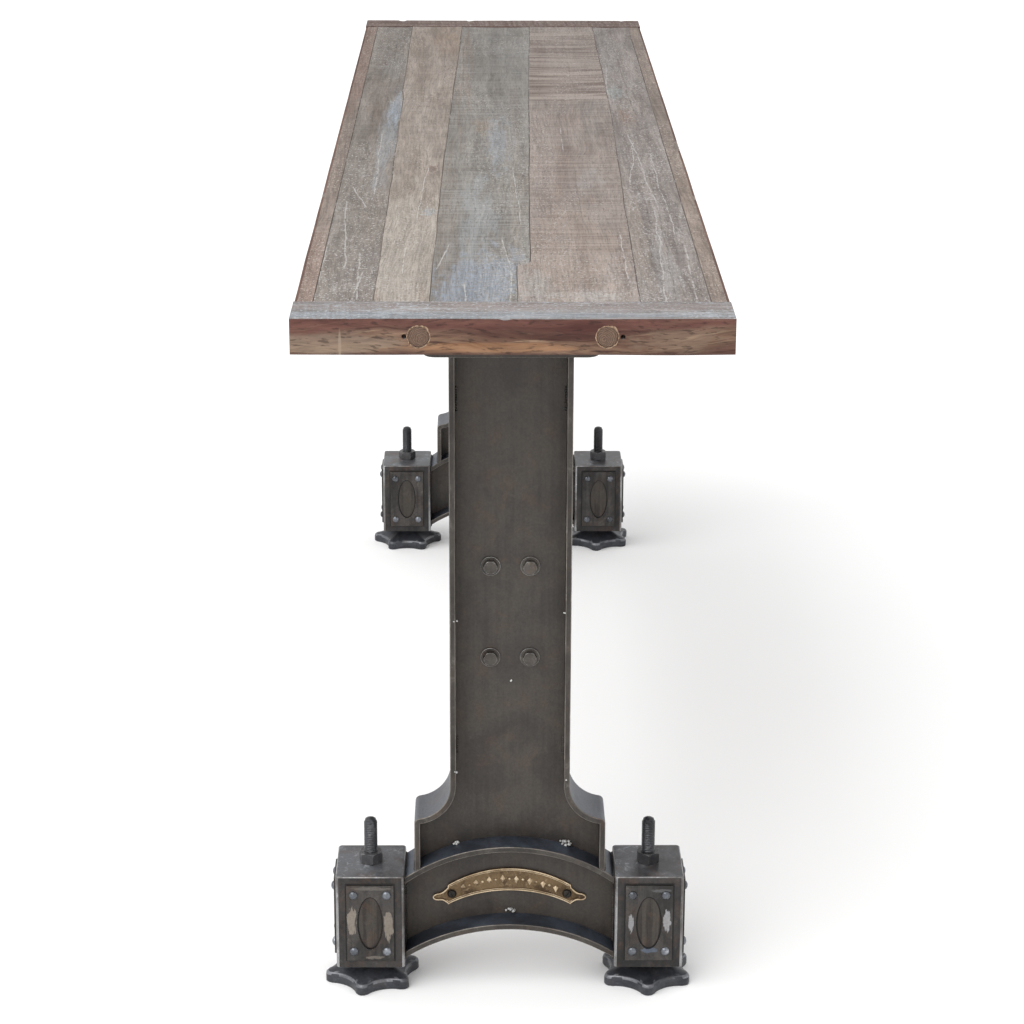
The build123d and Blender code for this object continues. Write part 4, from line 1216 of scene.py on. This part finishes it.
def makeWelds():
    for end, sign in ends.items():
        legX = (nodeBox(f"{end}_post_web")[0].x + nodeBox(f"{end}_post_web")[1].x) / 2
        beads, drops = [], []
        ball = dome(weldSettings["radius"], weldSettings["radius"] * 0.72, (0.0, 0.0, 0.0), (0, 0, 1))
        for start, stop in weldSettings["runs"]:
            for side in (-1, 1):
                a = Vector((legX + start[0], side * start[1], start[2]))
                b = Vector((legX + stop[0], side * stop[1], stop[2]))
                count = max(2, int((b - a).length / weldSettings["pitch"]))
                for number in range(count + 1):
                    bead = copyOf(ball)
                    where = Vector((number * 0.9, side * 3.1 + sign, a.z * 50 + a.x * 90))
                    wobble = noise.noise_vector(where)
                    bead.location = a.lerp(b, number / count) + wobble * 0.0003
                    bead.scale = [1 + 0.18 * wobble.x] * 3
                    bead.rotation_euler = wobble * 0.5
                    beads.append(bead)
        for x, y, z, spread, count in weldSettings["spatter"]:
            for number in range(count):
                stray = noise.noise_vector(Vector((number * 2.7, y * 90, z * 70 + sign)))
                size = 0.0007 + min(0.35 * spread, 0.0018) * (0.4 + abs(stray.z))
                spot = (legX + sign * (x + 0.9 * spread * stray.z), y * sign + 2.4 * spread * stray.y,
                        z + 1.2 * spread * stray.x)
                drops.append(dome(size, size * 0.7, spot, (sign, 0, 1), 9, 6))
        bpy.data.objects.remove(ball)
        bead = joinAll(beads)
        dress(bead, metals["weldSteel"])
        settle(bead, f"weldBeads_{end}")
        drop = joinAll(drops)
        dress(drop, metals["spatterSteel"])
        settle(drop, f"weldSpatter_{end}")
    print("welds made")


namePlateSettings = {
    "centre": -0.011, "inner": 0.111, "outer": 0.136,  # level of the arcs' centre and their radii
    "shoulder": 0.064, "columns": 26,
    # beyond the shoulder: y, upper and lower level
    "tip": [(0.0643, 0.1030, 0.0848), (0.0660, 0.1012, 0.0862), (0.0680, 0.0992, 0.0876),
            (0.0700, 0.0976, 0.0885), (0.0722, 0.0966, 0.0886), (0.0745, 0.0962, 0.0884),
            (0.0765, 0.0957, 0.0886), (0.0782, 0.0948, 0.0893), (0.0794, 0.0936, 0.0904),
            (0.0799, 0.0925, 0.0914)],
    "rims": [(0.0012, 0.0), (0.0001, -0.0008), (0.0006, 0.0), (0.0001, 0.0006), (0.0006, 0.0),
             (0.0001, -0.0010)],
    "beads": 15, "beadArc": 23.0,  # beads along the middle, and how far each way they run, in degrees
}


def plateEdge(style, column):
    # y, upper and lower level of one column, counted from the middle
    number = abs(column)
    if number <= style["columns"]:
        y = style["shoulder"] * number / style["columns"]
        top, foot = math.sqrt(style["outer"] ** 2 - y ** 2), math.sqrt(style["inner"] ** 2 - y ** 2)
        end = (y / style["shoulder"]) ** 2
        top, foot = style["centre"] + top - 0.0030 * end, style["centre"] + foot + 0.0042 * end
    else:
        y, top, foot = style["tip"][number - style["columns"] - 1]
    return math.copysign(y, column), top, foot


def makeNamePlates():
    style = namePlateSettings
    low, high = nodeBox("right_name_plate")
    count = style["columns"] + len(style["tip"])
    clearSelection()
    bpy.ops.mesh.primitive_grid_add(x_subdivisions=2 * count, y_subdivisions=6, size=1.0)
    plate = freeze(bpy.context.object)
    for point in plate.data.vertices:
        y, top, foot = plateEdge(style, round(point.co.x * 2 * count))
        point.co = (low.x, y, (top + foot) / 2 + point.co.y * (top - foot))
    selectParts(plate, lambda centre, normal: True)
    bpy.ops.mesh.extrude_region_move(TRANSFORM_OT_translate={"value": (high.x - low.x, 0.0, 0.0)})
    for inset, rise in style["rims"]:
        bpy.ops.mesh.inset(thickness=inset, use_even_offset=False, use_boundary=True)
        if rise:
            bpy.ops.transform.translate(value=(rise, 0.0, 0.0))
    leaveEdit()
    mergeMesh(plate, 0.00002, recalc=True)
    print("name plate spans", [round(value, 4) for value in plate.bound_box[6]])
    dress(plate, brassRaised, brassRecess, brassBase)
    dressFaces(plate, 1, lambda centre, normal: normal.x > 0.9 and centre.x < high.x - 0.0007)
    dressFaces(plate, 2, lambda centre, normal: normal.x < 0.5)
    pick(plate)
    bpy.ops.object.shade_smooth_by_angle(angle=math.radians(30))
    marks = []
    middle = (style["inner"] + style["outer"]) / 2
    floor = high.x - 0.0012
    for number in range(style["beads"]):
        a = math.radians(style["beadArc"] * (2 * number / (style["beads"] - 1) - 1))
        y, z = math.sin(a) * middle, style["centre"] + math.cos(a) * middle
        if number % 2:
            marks.append(dome(0.0015, 0.0011, (floor, y, z), (1, 0, 0), 12, 8))
            continue
        clearSelection()
        bpy.ops.mesh.primitive_cone_add(vertices=4, radius1=0.0052, radius2=0.0014, depth=0.0011)
        lozenge = bpy.context.object
        lozenge.scale = (0.56, 1.0, 1.0)
        freeze(lozenge)
        lozenge.rotation_euler = (math.pi / 2 - a, 0.0, math.pi / 2)
        lozenge.location = (floor + 0.0003, y, z)
        freeze(lozenge)
        applyModifier(lozenge, "BEVEL", width=0.00015, segments=1)
        marks.append(lozenge)
    ornament = joinAll(marks)
    dress(ornament, brassRaised)
    for end, sign in ends.items():
        for source, name in ((plate, "namePlate"), (ornament, "namePlateBeads")):
            made = copyOf(source)
            if sign < 0:
                made.rotation_euler.z = math.pi
            settle(made, f"{name}_{end}", stands=[f"{end}_name_plate"] if source is plate else ())
    bpy.data.objects.remove(plate)
    bpy.data.objects.remove(ornament)
    print("name plates made")


plateScrewSettings = {"radius": 0.005, "height": 0.002, "slotWidth": 0.0013, "slotDepth": 0.0011,
                      "places": [(-0.060, 0.096, 25.0), (0.060, 0.096, -38.0)], "sit": 0.003}


def makePlateScrews():
    style = plateScrewSettings
    heads = []
    for end, sign in ends.items():
        web = nodeBox(f"{end}_arch_web")[1 if sign > 0 else 0].x
        for y, z, turn in style["places"]:
            base = web + sign * style["sit"]
            clearSelection()
            bpy.ops.mesh.primitive_cylinder_add(vertices=32, radius=style["radius"], depth=style["height"])
            head = freeze(bpy.context.object)
            selectParts(head, lambda centre, normal: normal.z > 0.9)
            bpy.ops.transform.resize(value=(0.72, 0.72, 1.0), center_override=(0.0, 0.0, 0.001))
            leaveEdit()
            applyModifier(head, "BEVEL", width=0.0004, segments=2, limit_method="ANGLE")
            clearSelection()
            bpy.ops.mesh.primitive_cube_add(size=1.0, location=(0.0, 0.0, style["height"] / 2))
            slotCutter = bpy.context.object
            slotCutter.scale = (0.02, style["slotWidth"], 2 * style["slotDepth"])
            freeze(slotCutter)
            applyModifier(head, "BOOLEAN", operation="DIFFERENCE", solver="EXACT", object=slotCutter)
            bpy.data.objects.remove(slotCutter)
            head.rotation_euler.z = math.radians(turn)
            freeze(head)
            head.rotation_euler = (0.0, sign * math.pi / 2, 0.0)
            head.location = (base + sign * style["height"] / 2, sign * y, z)
            freeze(head)
            heads.append(head)
    head = joinAll(heads)
    dress(head, metals["screwSteel"])
    pick(head)
    bpy.ops.object.shade_smooth_by_angle(angle=math.radians(35))
    settle(head, "plateScrews", stands=["name_plate_screws"])
    print("name plate screws made")


studSettings = {"crest": 0.00695, "root": 0.0061, "pitch": 0.002, "sides": 28, "dome": 0.0048}
padSettings = {
    "tip": 0.0435, "round": 0.007, "hollow": 0.0318, "hollowCentre": 0.0698,
    # level, how much of the star's shape is kept, then the scale of the star and the radius of the round part
    "rings": [(0.0, 1.0, 0.975, 0.0), (0.0012, 1.0, 1.0, 0.0), (0.0088, 1.0, 1.0, 0.0),
              (0.0108, 1.0, 0.985, 0.0), (0.0119, 1.0, 0.95, 0.0), (0.0127, 1.0, 0.88, 0.0),
              (0.0150, 0.75, 0.74, 0.032), (0.0178, 0.5, 0.58, 0.0255), (0.0206, 0.3, 0.45, 0.0205),
              (0.0232, 0.1, 0.36, 0.0172), (0.0248, 0.0, 0.3, 0.0158), (0.0262, 0.0, 0.3, 0.0153),
              (0.0270, 0.0, 0.3, 0.0144), (0.0268, 0.0, 0.3, 0.0092), (0.0250, 0.0, 0.3, 0.0082)],
    "sides": 96,
}


def starRadius(style, angle):
    # distance to the pad's outline: a round tip, then a hollow side
    turn = abs((angle + math.pi / 6) % (math.pi / 3) - math.pi / 6)
    if turn < math.radians(7.7):
        aside = style["tip"] * math.sin(turn)
        return style["tip"] * math.cos(turn) + math.sqrt(style["round"] ** 2 - aside ** 2)
    off = math.pi / 6 - turn
    reach = style["hollowCentre"]
    return reach * math.cos(off) - math.sqrt(style["hollow"] ** 2 - (reach * math.sin(off)) ** 2)


def makePad(style, turn):
    clearSelection()
    bpy.ops.mesh.primitive_circle_add(vertices=style["sides"], radius=1.0, fill_type="NGON")
    pad = freeze(bpy.context.object)
    selectParts(pad, lambda centre, normal: True)
    for number in range(len(style["rings"]) - 1):
        bpy.ops.mesh.extrude_region_move(TRANSFORM_OT_translate={"value": (0.0, 0.0, 1.0)})
    leaveEdit()
    for point in pad.data.vertices:
        level, share, scale, radius = style["rings"][round(point.co.z)]
        angle = math.atan2(point.co.y, point.co.x)
        reach = share * scale * starRadius(style, angle) + (1 - share) * radius
        angle += turn
        cast = 1 + 0.006 * ripple(math.cos(angle) * 3, math.sin(angle) * 3, level * 90)
        point.co = (math.cos(angle) * reach * min(cast, 1.0), math.sin(angle) * reach * min(cast, 1.0), level)
    mergeMesh(pad, 0.00001, recalc=True)
    return pad


def makeStud(style, bottom, top):
    clearSelection()
    bpy.ops.mesh.primitive_cylinder_add(vertices=style["sides"], radius=style["crest"], depth=top - bottom,
                                        location=(0.0, 0.0, (top + bottom) / 2))
    stud = freeze(bpy.context.object)
    for cuts in (7, 49):
        pick(stud)
        bpy.ops.object.mode_set(mode="EDIT")
        bpy.ops.mesh.select_mode(type="EDGE")
        bpy.ops.mesh.select_all(action="DESELECT")
        bpy.ops.object.mode_set(mode="OBJECT")
        points = stud.data.vertices
        for edge in stud.data.edges:
            a, b = (points[number].co for number in edge.vertices)
            edge.select = abs(a.z - b.z) > 0.0001
        bpy.ops.object.mode_set(mode="EDIT")
        bpy.ops.mesh.subdivide(number_cuts=cuts)
        leaveEdit()
    selectParts(stud, lambda centre, normal: normal.z > 0.9)  # the domed end
    for number in range(4):
        bpy.ops.mesh.inset(thickness=0.0014)
    leaveEdit()
    for point in stud.data.vertices:
        angle, radius = math.atan2(point.co.y, point.co.x), math.hypot(point.co.x, point.co.y)
        wave = abs(2 * ((point.co.z / style["pitch"] - angle / (2 * math.pi)) % 1.0) - 1)
        if radius > style["crest"] - 0.0003:
            reach = style["root"] + (style["crest"] - style["root"]) * min(1.0, wave * 1.35)
        else:
            reach = radius
        past = point.co.z - (top - style["dome"])
        if past > 0:
            side = radius / style["crest"]
            if side < 0.96:
                point.co.z = top - style["dome"] + style["dome"] * math.sqrt(max(0.0, 1 - side ** 2))
            else:
                reach = min(reach, style["root"]) * (1 - 0.10 * (past / style["dome"]) ** 2)
                point.co.z = top - style["dome"] + min(past, style["dome"] * 0.28)
        point.co.x, point.co.y = math.cos(angle) * reach, math.sin(angle) * reach
    mergeMesh(stud, 0.00001, recalc=True)
    return stud


padTurns = {"right_front": -12.0, "right_back": 0.0, "left_front": 30.0, "left_back": -4.0}


def makeFeet():
    for end in ends:
        for side in sides:
            corner = f"{end}_{side}"
            low, high = nodeBox(f"leveller_stud_{corner}")
            x, y = (low.x + high.x) / 2, (low.y + high.y) / 2
            stud = makeStud(studSettings, low.z, high.z)
            stud.location = (x, y, 0.0)
            dress(stud, metals["studSteel"])
            pick(stud)
            bpy.ops.object.shade_smooth_by_angle(angle=math.radians(40))
            settle(stud, f"stud_{corner}", f"stud_{corner}", [f"leveller_stud_{corner}"])
            nut = nodeCopy(f"locknut_{corner}")
            dress(nut, metals["nutSteel"], metals["nutEdge"])
            rounded(nut, 0.0008, 2, 28, edgeSlot=1)
            settle(nut, f"lockNut_{corner}", f"locknut_{corner}", [f"locknut_{corner}"])
            pad = makePad(padSettings, math.radians(padTurns[corner]))
            pad.location = (x, y, 0.0)
            freeze(pad)
            dress(pad, metals["padIron"], metals["padEdge"])
            dressFaces(pad, 1, lambda centre, normal: 0.25 < normal.z < 0.93 and centre.z < 0.0125)
            pick(pad)
            bpy.ops.object.shade_smooth_by_angle(angle=math.radians(50))
            settle(pad, f"starPad_{corner}", f"pad_{corner}", [f"leveller_pad_{corner}"])
    print("levelling feet made")


def finishNodes():
    # small solids whose shape is already right keep their mesh and get a finish
    for node, look in (("batten_screws", metals["screwSteel"]),
                       ("top_plate_screws", metals["screwSteel"]),
                       ("end_board_screws", metals["screwSteel"])):
        dress(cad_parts[node], look)
    print("small nodes finished")


makePlanks()
makeRails()
makeEndBoards()
makePlugs()
makeBattens()
makePedestals()
makePanelTrim()
makeFasteners()
makeWelds()
makeNamePlates()
makePlateScrews()
makeFeet()
finishNodes()


def paleFloor():
    look, tree, shader, here = startMaterial("paleFloor", 0.9, specular=0.0)
    soft = cloud(tree, here, 1.5, 3.0)
    tree.links.new(blend(tree, fade(tree, soft, 0.3, 0.7), (0.93, 0.93, 0.93, 1.0), (0.94, 0.94, 0.94, 1.0)),
                   shader.inputs["Base Color"])
    bpy.ops.mesh.primitive_grid_add(x_subdivisions=4, y_subdivisions=4, size=80.0, location=(0.0, 0.0, 0.0))
    floor = freeze(bpy.context.object)
    floor.name = "floor"
    dress(floor, look)


lightSettings = {
    "world": 0.98,
    "sun": {"from": (0.55, -0.62, 1.0), "strength": 1.5, "spread": 55.0},
    # name: (place, what it points at, size, power, colour)
    "soft": {"softFront": ((3.2, -0.9, 1.9), (0.6, 0.0, 0.6), 1.8, 16.0, (1.0, 0.99, 0.97))},
}


def studioLight():
    world = bpy.data.worlds.new("studio")
    bpy.context.scene.world = world
    world.use_nodes = True
    world.node_tree.nodes["Background"].inputs[0].default_value = (1.0, 1.0, 1.0, 1.0)
    world.node_tree.nodes["Background"].inputs[1].default_value = lightSettings["world"]
    sun = bpy.data.lights.new("softSun", "SUN")
    sun.energy, sun.angle = lightSettings["sun"]["strength"], math.radians(lightSettings["sun"]["spread"])
    holder = bpy.data.objects.new("softSun", sun)
    bpy.context.collection.objects.link(holder)
    holder.rotation_euler = Vector(lightSettings["sun"]["from"]).to_track_quat("Z", "Y").to_euler()
    for name, (where, target, size, power, colour) in lightSettings["soft"].items():
        lamp = bpy.data.lights.new(name, "AREA")
        lamp.shape, lamp.size, lamp.energy, lamp.color = "DISK", size, power, colour
        holder = bpy.data.objects.new(name, lamp)
        bpy.context.collection.objects.link(holder)
        holder.location = where
        holder.rotation_euler = (Vector(target) - Vector(where)).to_track_quat("-Z", "Y").to_euler()


cameraSettings = {"place": (3.3765, -0.0233, 1.4094), "turn": 0.53, "down": 18.5, "roll": 0.18, "lens": 99.41}


def makeCamera():
    turn, down = math.radians(cameraSettings["turn"]), math.radians(cameraSettings["down"])
    ahead = Vector((-math.cos(turn) * math.cos(down), math.sin(turn) * math.cos(down), -math.sin(down)))
    lens = bpy.data.cameras.new("camera")
    lens.lens, lens.sensor_width, lens.clip_end = cameraSettings["lens"], 36.0, 200.0
    camera = bpy.data.objects.new("camera", lens)
    bpy.context.collection.objects.link(camera)
    camera.location = cameraSettings["place"]
    camera.rotation_mode = "QUATERNION"
    camera.rotation_quaternion = ahead.to_track_quat("-Z", "Y") @ Quaternion(
        (0.0, 0.0, 1.0), math.radians(cameraSettings["roll"]))
    bpy.context.scene.camera = camera


paleFloor()
studioLight()
makeCamera()
bpy.context.scene.view_settings.view_transform = "Standard"
clearSelection()
print("floor, light and camera made")
